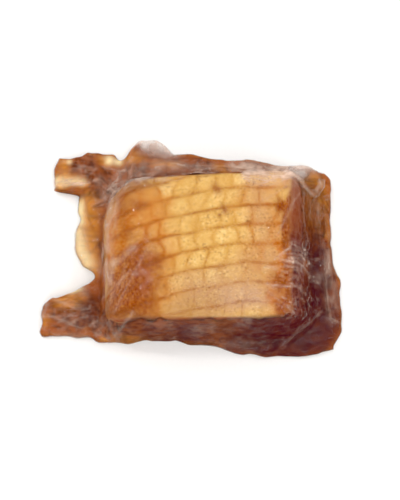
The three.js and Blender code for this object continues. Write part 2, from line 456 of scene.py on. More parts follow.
@dataclass(frozen=True)
class PouchForm:
    """The sealed pouch's form, in mm on the plan's own origin.

    Attributes:
        left, right, front, back: The rim's edges; the left one has the two ears.
        left_face, right_face, front_face, back_face: The block's sides.
        corner_round, back_left_round: How round the block's corners are, in times a wall's reach.
        pockets: Where the skirt of sauce is plumper or flatter.
        lifts: Where the rim stands up off the floor.
        folds: Ridges and grooves in the skirt and the ears.
        crown_top: The block's height, which falls by crown_fall to its corners.
        shoulder_start: Where its top starts to fall to the left, by shoulder_drop.
        wave: Height of the top's slow waves, then how far one radian goes across and deep.
        seam: How far apart the two films lie at the rim.
        flange: How wide the flat rim is.
        skirt_depth: How deep the sauce is, apart from pockets and folds, from skirt_reach inside the rim.
        rim_lift: How far the whole rim lifts, over underside_reach.
        shoulder_rows: How far in from a wall the close grid lines go.
        wall_share_of_gap: The most of the gap between rim and wall that a wall's foot takes up.
    """

    left: Edge = Edge(
        (-70, -70),
        (
            Swing(-60, 34.2, 9.5, -27.5), Swing(-58, 3.5, 3, 2.6), Swing(-36, 14, 8, 2.6),
            Swing(-13, 5, 5, 8), Swing(13, 12, 9, -5), Swing(37, 8, 5, -3.5), Swing(60, 14.5, 2.5, -19),
            Swing(62, 5, 5, 4),
        ),
    )
    right: Edge = Edge(
        (91.8, 91.8),
        (Swing(-60, 7, 7, -1.5), Swing(-35, 21, 9, 4.7), Swing(35, 20, 10, -0.4), Swing(61, 12, 5, -6)),
    )
    front: Edge = Edge(
        (-57.3, -57.3),
        (Swing(-70, 10.2, 1.2, 4.3), Swing(-20, 13, 7, 1.8), Swing(58, 38, 32, -8), Swing(90, 7, 7, 0.8)),
    )
    back: Edge = Edge(
        (64, 59),
        (
            Swing(-59, 14.5, 6, 5.4), Swing(-70, 7.2, 1.5, -3.6), Swing(-43.5, 3.5, 3.5, -3),
            Swing(-27, 9, 5, 5), Swing(-28, 15, 5, 7), Swing(-3, 12, 10, 3.3), Swing(18, 34, 14, 3.2),
            Swing(78, 10, 7, -0.7), Swing(90, 7, 7, -4),
        ),
    )
    left_face: Face = Face(181, 54.5, 4.2)
    right_face: Face = Face(0, 72, 11.5)
    front_face: Face = Face(270, 53.2, 4.6)
    back_face: Face = Face(93.5, 43.5, 5.4)
    corner_round: float = 2.0
    back_left_round: float = 5.6
    pockets: tuple[Mound, ...] = (
        Mound(-69, 55, 22, 7.5), Mound(-77, -40, 23, 9), Mound(-57, -45, 10, 9), Mound(-35, 57, 13, 6),
        Mound(-70, 11, 24, -4), Mound(-28, 72, 11, -6), Mound(73, 60, 9, -5), Mound(83, -34, 24, 5.5),
        Mound(80, 38, 20, 5),
    )
    lifts: tuple[Mound, ...] = (
        Mound(-28, 76, 22, 12), Mound(73, 62, 14, 5), Mound(-88, 57, 20, 3.5), Mound(-96, -42, 18, 2),
    )
    folds: tuple[Fold, ...] = (
        Fold((-92, 45), (-60, 48), 4, -5), Fold((-95, 40.5), (-56, 39.5), 3.5, 3.5),
        Fold((-58, 64), (-52, 44), 3.5, -4), Fold((-96, -47), (-60, -50), 4, -4.5),
        Fold((-92, -33), (-62, -24), 4, 3), Fold((52, -62), (85, -34), 3, 3.5),
        Fold((87, -42), (86, -6), 3, -3.5), Fold((62, 52), (84, 40), 4, 4), Fold((84, 36), (85, 6), 3, -3),
    )
    crown_top: float = 59.0
    crown_fall: float = 4.0
    shoulder_start: float = -14.0
    shoulder_drop: float = 11.0
    wave: tuple[float, float, float] = (0.5, 13.0, 17.0)
    seam: float = 0.3
    flange: float = 0.25
    skirt_depth: float = 7.5
    skirt_reach: float = 11.0
    rim_lift: float = 1.6
    underside_reach: float = 9.0
    shoulder_rows: float = 13.0
    wall_share_of_gap: float = 0.8

    def grid(self, across: tuple[int, ...], deep: tuple[int, ...]) -> Plan:
        """Lay a grid over the pouch, its lines close together at the block's walls.

        Args:
            across: Cells from the left rim to the wall, over it, over the top, over the next wall and to the
                right rim.
            deep: The same from front to back.

        Returns:
            The grid's points.
        """
        columns, rows = sum(across), sum(deep)
        zero = np.zeros(1)
        rest_left, rest_right = zero + self.left.rest[0], zero + self.right.rest[0]
        rest_front, rest_back = zero + self.front.rest[0], zero + self.back.rest[1]
        rest_x = self._lines(across, rest_left, rest_right, self._walls_x(zero))[0]
        rest_y = self._lines(deep, rest_front, rest_back, self._walls_y(zero))[0]
        deep_share = np.arange(rows + 1) / rows
        across_share = np.arange(columns + 1) / columns
        rim_left = self.left.place(deep_share, rest_y)
        rim_right = self.right.place(deep_share, rest_y)
        rim_front = self.front.place(across_share, rest_x)
        rim_back = self.back.place(across_share, rest_x)
        x = self._lines(across, rim_left, rim_right, self._walls_x(rest_y))
        y = self._lines(deep, rim_front, rim_back, self._walls_y(rest_x)).T
        inside = [x - rim_left[:, None], rim_right[:, None] - x, y - rim_front, rim_back - y]
        return Plan(x, y, np.maximum(np.minimum.reduce(inside), 0))

    def _walls_x(self, y: Array) -> Walls:
        """Give the left and right walls' x and reach at given y."""
        left, right = self.left_face, self.right_face
        return (left.line_x(y), left.reach), (right.line_x(y), right.reach)

    def _walls_y(self, x: Array) -> Walls:
        """Give the front and back walls' y and reach at given x."""
        front, back = self.front_face, self.back_face
        return (front.line_y(x), front.reach), (back.line_y(x), back.reach)

    def _lines(self, cells: tuple[int, ...], low_rim: Array, high_rim: Array, walls: Walls) -> Array:
        """Space grid lines between two rims.

        Args:
            cells: How many cells each of the five bands has.
            low_rim: The rim that the lines start from, one number for each row.
            high_rim: The rim that they end at.
            walls: The low and the high wall, each with its reach.

        Returns:
            Line positions, one row for each of low_rim's numbers.
        """
        (low, low_reach), (high, high_reach) = walls
        share = self.wall_share_of_gap
        stops = [
            low_rim,
            low - np.minimum(low_reach, share * (low - low_rim)),
            low + self.shoulder_rows,
            high - self.shoulder_rows,
            high + np.minimum(high_reach, share * (high_rim - high)),
            high_rim,
        ]
        parts = []
        for band, count in enumerate(cells):
            last = band == len(cells) - 1
            steps = np.arange(count + last) / count
            parts.append(mix(stops[band][:, None], stops[band + 1][:, None], steps))
        return np.concatenate(parts, axis=1)

    def past_walls(self, x: Array, y: Array) -> Array:
        """Measure how far places lie past the block's walls, joined the way a rounded box's are.

        Args:
            x, y: Places, mm.

        Returns:
            The distance in times the walls' reach: -1 at the top's edge, 1 at the foot.
        """
        left, right = self.left_face.past(x, y), self.right_face.past(x, y)
        front, back = self.front_face.past(x, y), self.back_face.past(x, y)
        sideways, lengthways = np.maximum(left, right), np.maximum(front, back)
        at_back_left = (left > right) & (back > front)
        round_ = np.where(at_back_left, self.back_left_round, self.corner_round)
        outside = np.hypot(np.maximum(sideways + round_, 0), np.maximum(lengthways + round_, 0))
        return outside + np.minimum(np.maximum(sideways, lengthways) + round_, 0) - round_

    def block_top(self, x: Array, y: Array) -> Array:
        """Give the block's top under the film: a low crown, a rounder left shoulder, a slow waviness.

        Args:
            x, y: Places, mm.

        Returns:
            The height at each place, mm.
        """
        zero = np.zeros(1)
        left, right = self.left_face.line_x(zero), self.right_face.line_x(zero)
        front, back = self.front_face.line_y(zero), self.back_face.line_y(zero)
        across = 2 * (x - left) / (right - left) - 1
        deep = 2 * (y - front) / (back - front) - 1
        crown = self.crown_fall * (across**2 + deep**2) / 2
        shoulder = np.clip((self.shoulder_start - x) / (self.shoulder_start - left), 0, 1)
        height, wide, long_ = self.wave
        wave = height * np.sin(x / wide) * np.sin(y / long_)
        return self.crown_top - crown - self.shoulder_drop * shoulder**2 + wave

    def underside(self, plan: Plan) -> Array:
        """Give the lower film's height: flat, rising to the lifted rim."""
        lift = self.rim_lift + sum(one.rise * one.share(plan.x, plan.y) for one in self.lifts)
        return lift * (1 - smooth_step(0, self.underside_reach, plan.from_rim))

    def skirt(self, plan: Plan) -> Array:
        """Give the upper film's height over the sauce skirt alone.

        Args:
            plan: The grid.

        Returns:
            The height at each point, mm.
        """
        inside = np.clip((plan.from_rim - self.flange) / (self.skirt_reach - self.flange), 0, 1)
        plump = np.sqrt(1 - (1 - inside) ** 2)
        uneven = self.pockets + self.folds
        depth = self.skirt_depth + sum(one.rise * one.share(plan.x, plan.y) for one in uneven)
        return self.underside(plan) + self.seam + np.maximum(0, depth) * plump

    def top(self, plan: Plan) -> Array:
        """Give the upper film's height: the skirt, then up the block's walls to its top."""
        wall = 1 - smooth_step(-1, 1, self.past_walls(plan.x, plan.y))
        return mix(self.skirt(plan), self.block_top(plan.x, plan.y), wall * smooth_step(0, 1, plan.from_rim))

    def film_over(self, x: Array, y: Array) -> Array:
        """Give the upper film's height over and beside the block, away from the rim."""
        wall = 1 - smooth_step(-1, 1, self.past_walls(x, y))
        return mix(self.skirt_depth, self.block_top(x, y), wall)

    @property
    def middle(self) -> Array:
        """The middle of the pouch's box in plan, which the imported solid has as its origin."""
        plan = self.grid(COARSE_ACROSS, COARSE_DEEP)
        return np.array([(a.min() + a.max()) / 2 for a in (plan.x, plan.y)])


# Meshes


def grid_normals(points: Array) -> Array:
    """Give the upward unit normals of a grid of points.

    Args:
        points: The points, rows by columns.

    Returns:
        A unit vector for each.
    """
    along = np.gradient(points, axis=1)
    deep = np.gradient(points, axis=0)
    normal = np.cross(along, deep)
    return normal / np.maximum(np.linalg.norm(normal, axis=-1, keepdims=True), TINY)


def loop_of(rows: int, columns: int) -> Array:
    """List the border of a grid of points, anticlockwise seen from above.

    Args:
        rows: Rows of points.
        columns: Columns of points.

    Returns:
        Flat indices into the grid.
    """
    index = np.arange(rows * columns).reshape(rows, columns)
    return np.concatenate([index[0, :-1], index[:-1, -1], index[-1, :0:-1], index[:0:-1, 0]])


def sheet_faces(rows: int, columns: int, start: int, upward: bool) -> list[list[int]]:
    """List the four-sided faces of a grid of points.

    Args:
        rows: Rows of points.
        columns: Columns of points.
        start: The first point's index.
        upward: Whether the faces look up.

    Returns:
        Corner indices of each face.
    """
    index = np.arange(rows * columns).reshape(rows, columns) + start
    corners = [index[:-1, :-1], index[:-1, 1:], index[1:, 1:], index[1:, :-1]]
    faces = np.stack([corner.ravel() for corner in corners], axis=1)
    return (faces if upward else faces[:, ::-1]).tolist()


def band_faces(lower: Array, upper: Array) -> list[list[int]]:
    """Sew two closed loops of points together, the upper one having as many points or twice as many.

    Args:
        lower: Point indices of the lower loop.
        upper: Point indices of the upper loop.

    Returns:
        Corner indices of each face.
    """
    times = len(upper) // len(lower)
    faces = []
    for i, corner in enumerate(lower):
        beyond = [int(upper[(times * i + k) % len(upper)]) for k in range(times, -1, -1)]
        faces.append([int(corner), int(lower[(i + 1) % len(lower)]), *beyond])
    return faces


def closed_box(top: Array, rings: list[Array], bottom: Array) -> tuple[Array, list[list[int]]]:
    """Join an upper sheet, rings of points round the side and a lower sheet into one closed skin.

    Args:
        top: The upper sheet's points, rows by columns.
        rings: Loops of points from the top down, in the order of the upper sheet's border.
        bottom: The lower sheet's points, of the same grid or of every second line of it.

    Returns:
        The points and the faces.
    """
    parts = [top.reshape(-1, 3), *rings, bottom.reshape(-1, 3)]
    starts = np.concatenate([[0], np.cumsum([len(part) for part in parts])])
    loops = [loop_of(*top.shape[:2])]
    loops += [np.arange(len(ring)) + start for ring, start in zip(rings, starts[1:])]
    loops.append(loop_of(*bottom.shape[:2]) + starts[-2])
    faces = sheet_faces(*top.shape[:2], 0, True) + sheet_faces(*bottom.shape[:2], int(starts[-2]), False)
    for upper, lower in zip(loops, loops[1:]):
        faces += band_faces(lower, upper)
    return np.concatenate(parts), faces


def add_piece(name: str, points: Array, faces: list[list[int]], marks: Marks) -> Object:
    """Make a smooth mesh piece that rides on the part.

    Args:
        name: The piece's name.
        points: Its points in mm, in the part's frame.
        faces: Corner indices of its faces.
        marks: Numbers from 0 to 1 at each point that its material reads, by name.

    Returns:
        The new object.
    """
    mesh = bpy.data.meshes.new(name)
    mesh.from_pydata((points * MM).tolist(), [], faces)
    mesh.shade_smooth()
    for mark, values in marks.items():
        attribute = mesh.attributes.new(mark.value, "FLOAT", "POINT")
        attribute.data.foreach_set("value", np.clip(values, 0, 1).astype(np.float32).ravel())
    mesh.update()
    piece = bpy.data.objects.new(name, mesh)
    bpy.context.scene.collection.objects.link(piece)
    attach(piece, BODY)
    return piece


# Materials


def add_node(tree: NodeTree, kind: str, inputs: dict, **settings: object) -> Node:
    """Add a shader node with its settings, constants and links.

    Args:
        tree: The material's node tree.
        kind: The node's type.
        inputs: For each socket's name or number, a constant or the socket to link from.
        settings: The node's own properties.

    Returns:
        The new node.
    """
    node = tree.nodes.new(kind)
    for name, value in settings.items():
        setattr(node, name, value)
    for name, value in inputs.items():
        if isinstance(value, NodeSocket):
            tree.links.new(value, node.inputs[name])
        else:
            node.inputs[name].default_value = value
    return node


def new_material(name: str) -> tuple[Material, NodeTree]:
    """Start a node material with nothing in it.

    Args:
        name: The material's name.

    Returns:
        The material and its empty node tree.
    """
    material = bpy.data.materials.new(name)
    material.use_nodes = True
    material.node_tree.nodes.clear()
    return material, material.node_tree


@dataclass(frozen=True)
class Stain:
    """A colour laid over what is below it where a mark is set.

    Attributes:
        mark: The piece's mark that says where.
        colour: sRGB hex.
        strength: The most that it covers.
        mottle: How much noise breaks it up, 0 to 1.
        grain: The noise's size, mm; real grain of a few tenths is drawn coarser, so that it shows.
        spread: The noise's values at which it starts and is full.
    """

    mark: Mark
    colour: str
    strength: float = 1.0
    mottle: float = 0.0
    grain: float = 3.0
    spread: Pair = (0.36, 0.64)


# How many finer layers a stain's noise has, and how strong each is beside the one before
STAIN_DETAIL = 3.0
STAIN_ROUGHNESS = 0.55


def stained(tree: NodeTree, base: str, stains: tuple[Stain, ...]) -> NodeSocket:
    """Lay stains over a base colour.

    Args:
        tree: The material's node tree.
        base: The base colour, sRGB hex.
        stains: What lies on it, from the bottom up.

    Returns:
        The colour socket.
    """
    place = add_node(tree, "ShaderNodeTexCoord", {}).outputs["Object"]
    colour: object = linear(base)
    for stain in stains:
        mask = add_node(tree, "ShaderNodeAttribute", {}, attribute_name=stain.mark.value).outputs["Fac"]
        noise = {"Vector": place, "Scale": 1 / (stain.grain * MM), "Detail": STAIN_DETAIL}
        noise |= {"Roughness": STAIN_ROUGHNESS}
        speckle = add_node(tree, "ShaderNodeTexNoise", noise).outputs["Fac"]
        start, full = stain.spread
        cover = {"Value": speckle, "From Min": start, "From Max": full}
        cover |= {"To Min": stain.strength * (1 - stain.mottle), "To Max": stain.strength}
        broken = add_node(tree, "ShaderNodeMapRange", cover).outputs["Result"]
        share = add_node(tree, "ShaderNodeMath", {0: mask, 1: broken}, operation="MULTIPLY").outputs["Value"]
        layers = {0: share, 6: colour, 7: linear(stain.colour)}
        colour = add_node(tree, "ShaderNodeMix", layers, data_type="RGBA").outputs[2]
    return colour


@dataclass(frozen=True)
class WetFood:
    """What the pork and its sauce share: stained colours, and light that sinks in below wet film.

    Attributes:
        name: The material's name.
        base: The plain colour below the stains, sRGB hex.
        stains: What lies on it, from the bottom up.
        ior: How much it bends light.
        roughness: How matt it is.
        glow: How much of the light sinks in.
        glow_reach: How far red, green and blue light goes in, mm.
        shine: How much it mirrors: nothing, as the film lies wet on it.
    """

    name: str
    base: str
    stains: tuple[Stain, ...]
    ior: float
    roughness: float
    glow: float
    glow_reach: tuple[float, float, float]
    shine: float = 0.0

    def _shader(self, tree: NodeTree, **more: NodeSocket) -> NodeSocket:
        """Add the food's own shader.

        Args:
            tree: The material's node tree.
            more: Sockets to link to further inputs, by the input's name.

        Returns:
            The shader socket.
        """
        inputs = {
            "Base Color": stained(tree, self.base, self.stains),
            "Roughness": self.roughness,
            "IOR": self.ior,
            "Specular IOR Level": self.shine,
            "Subsurface Weight": self.glow,
            "Subsurface Radius": self.glow_reach,
            "Subsurface Scale": MM,
        }
        return add_node(tree, "ShaderNodeBsdfPrincipled", inputs | more).outputs["BSDF"]


@dataclass(frozen=True)
class BraisedPork(WetFood):
    """Pork belly braised in soy sauce: rind cooked to a soft gel, lean meat dyed dark at the sides.

    The rind is a smooth, slightly clear skin, so light sinks in and warms it from below. The film lies
    wet on it and takes its shine away.

    Attributes:
        fibre: How far apart the meat's fibres lie, mm; real ones of about 0.2 mm wouldn't show.
        fibre_height, fibre_strength: How high they stand, mm, and how much of that shows.
    """

    name: str = "braised_pork_belly"
    base: str = "#c9984c"
    stains: tuple[Stain, ...] = (
        Stain(Mark.CREAM, "#edca86", 1.0, 0.65, 1.8),
        Stain(Mark.PALE, "#b98c64", 1.0, 0.4, 1.9),
        Stain(Mark.PORE, "#f6dca0", 0.35, 1.0, 1.6, (0.54, 0.7)),
        Stain(Mark.ORANGE, "#b66006", 1.0, 0.45, 1.8),
        Stain(Mark.RUST, "#7c3002", 1.0, 0.52, 1.6),
        # Brown where sauce has steeped in, also painted shade along the rind's front edge, and darker towards
        # the left end's foot
        Stain(Mark.SOAKED_AND_SHADE, "#86512a", 0.95, 0.35, 3.0),
        Stain(Mark.CORD, "#86480f", 0.62, 0.5, 1.8),
        Stain(Mark.BLOTCH, "#8c4a1e", 0.9, 0.4, 1.6),
        Stain(Mark.PORE, "#6f3a14", 0.72, 1.0, 1.2, (0.53, 0.7)),
        Stain(Mark.FAT, "#a87a50", 1.0, 0.3, 3.0),
        Stain(Mark.LEAN, "#843a1a", 1.0, 0.25, 2.5),
        Stain(Mark.BRUISE, "#480f1a", 1.0, 0.4, 2.5),
        Stain(Mark.VEIN, "#8a5a52", 0.45, 0.5, 1.2),
    )
    ior: float = 1.42
    roughness: float = 0.5
    glow: float = 0.15
    glow_reach: tuple[float, float, float] = (2.4, 1.1, 0.4)
    fibre: float = 0.9
    fibre_height: float = 0.2
    fibre_strength: float = 0.9

    def material(self) -> Material:
        """Build the material.

        Returns:
            The material.
        """
        material, tree = new_material(self.name)
        place = add_node(tree, "ShaderNodeTexCoord", {}).outputs["Object"]
        inputs = {"Vector": place, "Scale": 1 / (self.fibre * MM), "Detail": 2.0}
        fibres = add_node(tree, "ShaderNodeTexNoise", inputs).outputs["Fac"]
        inputs = {"Height": fibres, "Strength": self.fibre_strength, "Distance": self.fibre_height * MM}
        bump = add_node(tree, "ShaderNodeBump", inputs)
        shader = self._shader(tree, Normal=bump.outputs["Normal"])
        add_node(tree, "ShaderNodeOutputMaterial", {"Surface": shader})
        return material


@dataclass(frozen=True)
class SetSauce(WetFood):
    """Soy braising sauce set to a soft jelly: amber and clear where thin, dark brown where deep.

    Light sinks into it and comes out warm. The film lies wet on it, so it has no shine of its own. Its dark
    brown is also painted in as shade along the block's foot, under the ear's and the rind's edges and in the
    film's valleys.
    """

    name: str = "set_soy_sauce"
    base: str = "#9a5124"
    stains: tuple[Stain, ...] = (
        # Dark brown sauce, which also stands in for painted shade
        Stain(Mark.UMBER_AND_SHADE, "#521f0d", 0.92, 0.45, 4.0, (0.42, 0.58)),
        Stain(Mark.AMBER, "#dd9436", 0.95, 0.3, 4.0),
        Stain(Mark.PLUM, "#430a17", 0.97, 0.25, 4.0),
        Stain(Mark.FLECK, "#c98d52", 0.6, 0.5, 1.8),
        # Pale yellow where the sauce is thin, also painted cream highlights
        Stain(Mark.STRAW_AND_HIGHLIGHT, "#ffeab4", 1.0, 0.1, 6.0),
    )
    ior: float = 1.37
    roughness: float = 0.35
    glow: float = 0.2
    glow_reach: tuple[float, float, float] = (4.0, 1.4, 0.4)

    def material(self) -> Material:
        """Build the material.

        Returns:
            The material.
        """
        material, tree = new_material(self.name)
        shader = self._shader(tree)
        clear = add_node(tree, "ShaderNodeBsdfTransparent", {})
        cover = add_node(tree, "ShaderNodeAttribute", {}, attribute_name=Mark.COVER.value).outputs["Fac"]
        layers = {0: cover, 1: clear.outputs["BSDF"], 2: shader}
        mixed = add_node(tree, "ShaderNodeMixShader", layers)
        add_node(tree, "ShaderNodeOutputMaterial", {"Surface": mixed.outputs["Shader"]})
        return material


@dataclass(frozen=True)
class ShrunkFilm:
    """Clear nylon and polyethylene pouch film, shrunk in hot water.

    Wet meat lies against it, so it mirrors about a hundredth of the light, and it turns milky where it is
    creased. Some of its milky places are painted highlights.

    Attributes:
        name: The material's name.
        milk: The milky places' colour, warmed by what lies below.
        ior: Below the film's own 1.5, as its lower face lies wet on the meat and mirrors next to nothing.
        most_gloss: The most of the light that clear film mirrors.
        roughness, milk_roughness: How matt clear and milky film are.
        milk_shine: How much milky film mirrors.
        crinkle: How far apart the finest crinkles lie, mm; real ones of about 0.5 mm wouldn't show.
        crinkle_height, crinkle_strength: How high they stand, mm, and how much of that shows.
        cell: How wide the bubbles between film and meat are, mm.
        cell_shake: How far their walls wander, in times a crinkle.
        cell_wall: How wide the milky line along a bubble's wall is, in times a bubble.
        ruck_lines: How many wrinkles the marks' range from 0 to 1 stands for.
        ruck_line: How wide a drawn wrinkle is, in the noise's own range.
    """

    name: str = "shrunk_pouch_film"
    milk: str = "#e6c7b2"
    ior: float = 1.3
    most_gloss: float = 0.01
    roughness: float = 0.05
    milk_roughness: float = 0.35
    milk_shine: float = 0.2
    crinkle: float = 2.6
    crinkle_height: float = 0.5
    crinkle_strength: float = 0.6
    cell: float = 6.5
    cell_shake: float = 2.4
    cell_wall: float = 0.075
    ruck_lines: float = 64.0
    ruck_line: float = 0.09

    def material(self) -> Material:
        """Build the material.

        Returns:
            The material.
        """
        material, tree = new_material(self.name)
        clear = add_node(tree, "ShaderNodeBsdfTransparent", {})
        haze, relief = self._wrinkles(tree)
        mirror = add_node(tree, "ShaderNodeBsdfGlossy", {"Roughness": self.roughness, "Normal": relief})
        slant = add_node(tree, "ShaderNodeFresnel", {"IOR": self.ior}).outputs["Fac"]
        gloss = add_node(tree, "ShaderNodeMath", {0: slant, 1: self.most_gloss}, operation="MINIMUM")
        layers = {0: gloss.outputs["Value"], 1: clear.outputs["BSDF"], 2: mirror.outputs["BSDF"]}
        glossy = add_node(tree, "ShaderNodeMixShader", layers)
        milky = add_node(
            tree,
            "ShaderNodeBsdfPrincipled",
            {
                "Base Color": linear(self.milk),
                "Roughness": self.milk_roughness,
                "IOR": self.ior,
                "Specular IOR Level": self.milk_shine,
                "Normal": relief,
            },
        )
        layers = {0: haze, 1: glossy.outputs["Shader"], 2: milky.outputs["BSDF"]}
        film = add_node(tree, "ShaderNodeMixShader", layers)
        add_node(tree, "ShaderNodeOutputMaterial", {"Surface": film.outputs["Shader"]})
        return material

    def _wrinkles(self, tree: NodeTree) -> tuple[NodeSocket, NodeSocket]:
        """Draw the finest wrinkles and the seams between bubbles, too fine for the mesh.

        Args:
            tree: The material's node tree.

        Returns:
            How milky the film is, and its normal.
        """
        marks = {
            mark: add_node(tree, "ShaderNodeAttribute", {}, attribute_name=mark.value).outputs["Fac"]
            for mark in (Mark.HAZE_AND_HIGHLIGHTS, Mark.RUCK, Mark.ACROSS, Mark.ALONG, Mark.SEAM)
        }
        place = add_node(tree, "ShaderNodeTexCoord", {}).outputs["Object"]
        lines = add_node(tree, "ShaderNodeCombineXYZ", {"X": marks[Mark.ACROSS], "Y": marks[Mark.ALONG]})
        inputs = {"Vector": lines.outputs["Vector"], "Scale": self.ruck_lines, "Detail": 1.5}
        drawn = add_node(tree, "ShaderNodeTexNoise", inputs).outputs["Fac"]
        off = add_node(tree, "ShaderNodeMath", {0: drawn, 1: 0.5}, operation="SUBTRACT").outputs["Value"]
        off = add_node(tree, "ShaderNodeMath", {0: off}, operation="ABSOLUTE").outputs["Value"]
        inputs = {"Value": off, "From Max": self.ruck_line, "To Min": 1.0, "To Max": 0.0}
        ridge = add_node(tree, "ShaderNodeMapRange", inputs, interpolation_type="SMOOTHSTEP").outputs["Result"]
        ruck = add_node(tree, "ShaderNodeMath", {0: marks[Mark.RUCK], 1: ridge}, operation="MULTIPLY")
        shake = add_node(tree, "ShaderNodeTexNoise", {"Vector": place, "Scale": 1 / (self.crinkle * MM)})
        inputs = {0: shake.outputs["Color"], 1: (self.cell_shake * self.crinkle * MM,) * 3, 2: place}
        shaken = add_node(tree, "ShaderNodeVectorMath", inputs, operation="MULTIPLY_ADD").outputs["Vector"]
        inputs = {"Vector": shaken, "Scale": 1 / (self.cell * MM)}
        cells = add_node(tree, "ShaderNodeTexVoronoi", inputs, feature="DISTANCE_TO_EDGE").outputs["Distance"]
        inputs = {"Value": cells, "From Max": self.cell_wall, "To Min": 1.0, "To Max": 0.0}
        seam = add_node(tree, "ShaderNodeMapRange", inputs, interpolation_type="SMOOTHSTEP").outputs["Result"]
        seams = add_node(tree, "ShaderNodeMath", {0: marks[Mark.SEAM], 1: seam}, operation="MULTIPLY")
        inputs = {0: ruck.outputs["Value"], 1: seams.outputs["Value"]}
        fine = add_node(tree, "ShaderNodeMath", inputs, operation="ADD").outputs["Value"]
        # The milky haze, which also carries painted highlights, over the fine wrinkles and seams
        inputs = {0: fine, 1: marks[Mark.HAZE_AND_HIGHLIGHTS]}
        haze = add_node(tree, "ShaderNodeMath", inputs, operation="ADD").outputs["Value"]
        inputs = {"Vector": place, "Scale": 1 / (self.crinkle * MM), "Detail": 2.0}
        crinkle = add_node(tree, "ShaderNodeTexNoise", inputs).outputs["Fac"]
        height = add_node(tree, "ShaderNodeMath", {0: fine, 1: crinkle}, operation="ADD").outputs["Value"]
        inputs = {"Height": height, "Strength": self.crinkle_strength, "Distance": self.crinkle_height * MM}
        return haze, add_node(tree, "ShaderNodeBump", inputs).outputs["Normal"]


@dataclass(frozen=True)
class PaleFloor:
    """Matt white paper under the pack: even and without shine, with faint clouds of fibre.

    Attributes:
        name: The material's name.
        colour: The paper's colour.
        fibre: The fibre clouds' colour.
        cloud: How wide a cloud is, mm.
        roughness: How matt it is.
    """

    name: str = "matt_white_paper"
    colour: str = "#f7f6f4"
    fibre: str = "#f3f2f0"
    cloud: float = 2.0
    roughness: float = 0.9

    def material(self) -> Material:
        """Build the material.

        Returns:
            The material.
        """
        material, tree = new_material(self.name)
        place = add_node(tree, "ShaderNodeTexCoord", {}).outputs["Object"]
        fibres = add_node(tree, "ShaderNodeTexNoise", {"Vector": place, "Scale": 1 / (self.cloud * MM)})
        layers = {0: fibres.outputs["Fac"], 6: linear(self.colour), 7: linear(self.fibre)}
        colour = add_node(tree, "ShaderNodeMix", layers, data_type="RGBA").outputs[2]
        inputs = {"Base Color": colour, "Roughness": self.roughness}
        shader = add_node(tree, "ShaderNodeBsdfPrincipled", inputs)
        add_node(tree, "ShaderNodeOutputMaterial", {"Surface": shader.outputs["BSDF"]})
        return material


# The pork block


@dataclass(frozen=True)
class NetPrint:
    """What the net left at each place: relief in mm, how near a cord it is, and how far up a pale cell."""

    relief: Array
    cord: Array
    cell: Array


@dataclass
class NetMarks:
    """The grid that the rolling net pressed into the rind.

    The long cords run across the block and sag to the left; the short ones are weaker and stagger.

    Attributes:
        first: The first long cord's y where it doesn't sag, mm.
        pitch: How far apart the long cords lie, mm.
        cross_pitch, cross_cord, cross_depth: As pitch, cord and depth, for the short cords.
        sag, sag_power, sag_from: The long cords sag by sag times (sag_from - x) to that power, mm.
        cord: How wide a long cord's groove is to each side, mm.
        depth: How deep the long cords press in, mm.
        pillow: How far the rind swells up between the cords, mm.
        chances: How many random numbers the cells and the short cords share.
        seed: Which net.
    """

    first: float = 31.9
    pitch: float = 11.95
    cross_pitch: float = 11.4
    sag: float = 0.0152
    sag_power: float = 1.6
    sag_from: float = 37.0
    cord: float = 1.0
    cross_cord: float = 0.6
    depth: float = 0.38
    cross_depth: float = 0.15
    pillow: float = 0.35
    chances: int = 97
    seed: int = 11

    def printed(self, x: Array, y: Array) -> NetPrint:
        """Work out the net's print on the rind.

        Args:
            x, y: Places, mm.

        Returns:
            The print.
        """
        spots = flat_points(x, y)
        wander = 0.9 * lattice_noise(spots, 17, self.seed) + 0.5 * lattice_noise(spots, 5, self.seed + 1)
        sag = self.sag * np.maximum(0, self.sag_from - x) ** self.sag_power
        row = (self.first - y - sag + wander) / self.pitch
        row_number = np.floor(row).astype(int)
        chance = np.random.default_rng(self.seed).uniform(0, 1, self.chances)
        sway = 0.3 * lattice_noise(spots, 9, self.seed + 3)
        column = x / self.cross_pitch + chance[row_number % self.chances] + sway
        column_number = np.floor(column).astype(int)
        line = chance[(row_number * 13 + np.round(column).astype(int) * 29) % self.chances]
        off_cord = np.abs(row - np.round(row)) * self.pitch
        off_cross = np.abs(column - np.round(column)) * self.cross_pitch
        coarse, small = lattice_noise(spots, 14, self.seed + 5), lattice_noise(spots, 3.5, self.seed + 6)
        broken = 0.5 * coarse + 0.5 * small
        cord = np.exp(-((off_cord / self.cord) ** 2)) * np.clip(0.65 + broken, 0.1, 1)
        cross = np.exp(-((off_cross / self.cross_cord) ** 2)) * np.clip(line**1.5 + 0.8 * broken, 0, 1)
        up_row = np.sin(np.pi * (row - row_number))
        up_column = np.sin(np.pi * (column - column_number))
        pillow = (up_row * up_column) ** 0.6
        plumpness = chance[(row_number * 31 + column_number * 17) % self.chances]
        relief = self.pillow * pillow * (0.5 + plumpness) - self.depth * cord - self.cross_depth * cross
        cell = smooth_step(0.1, 0.95, pillow) * (0.25 + 0.75 * plumpness)
        cross_share = mix(0.2, 0.55, smooth_step(-40, 0, x))
        return NetPrint(relief, np.clip(cord + cross_share * cross, 0, 1), cell)


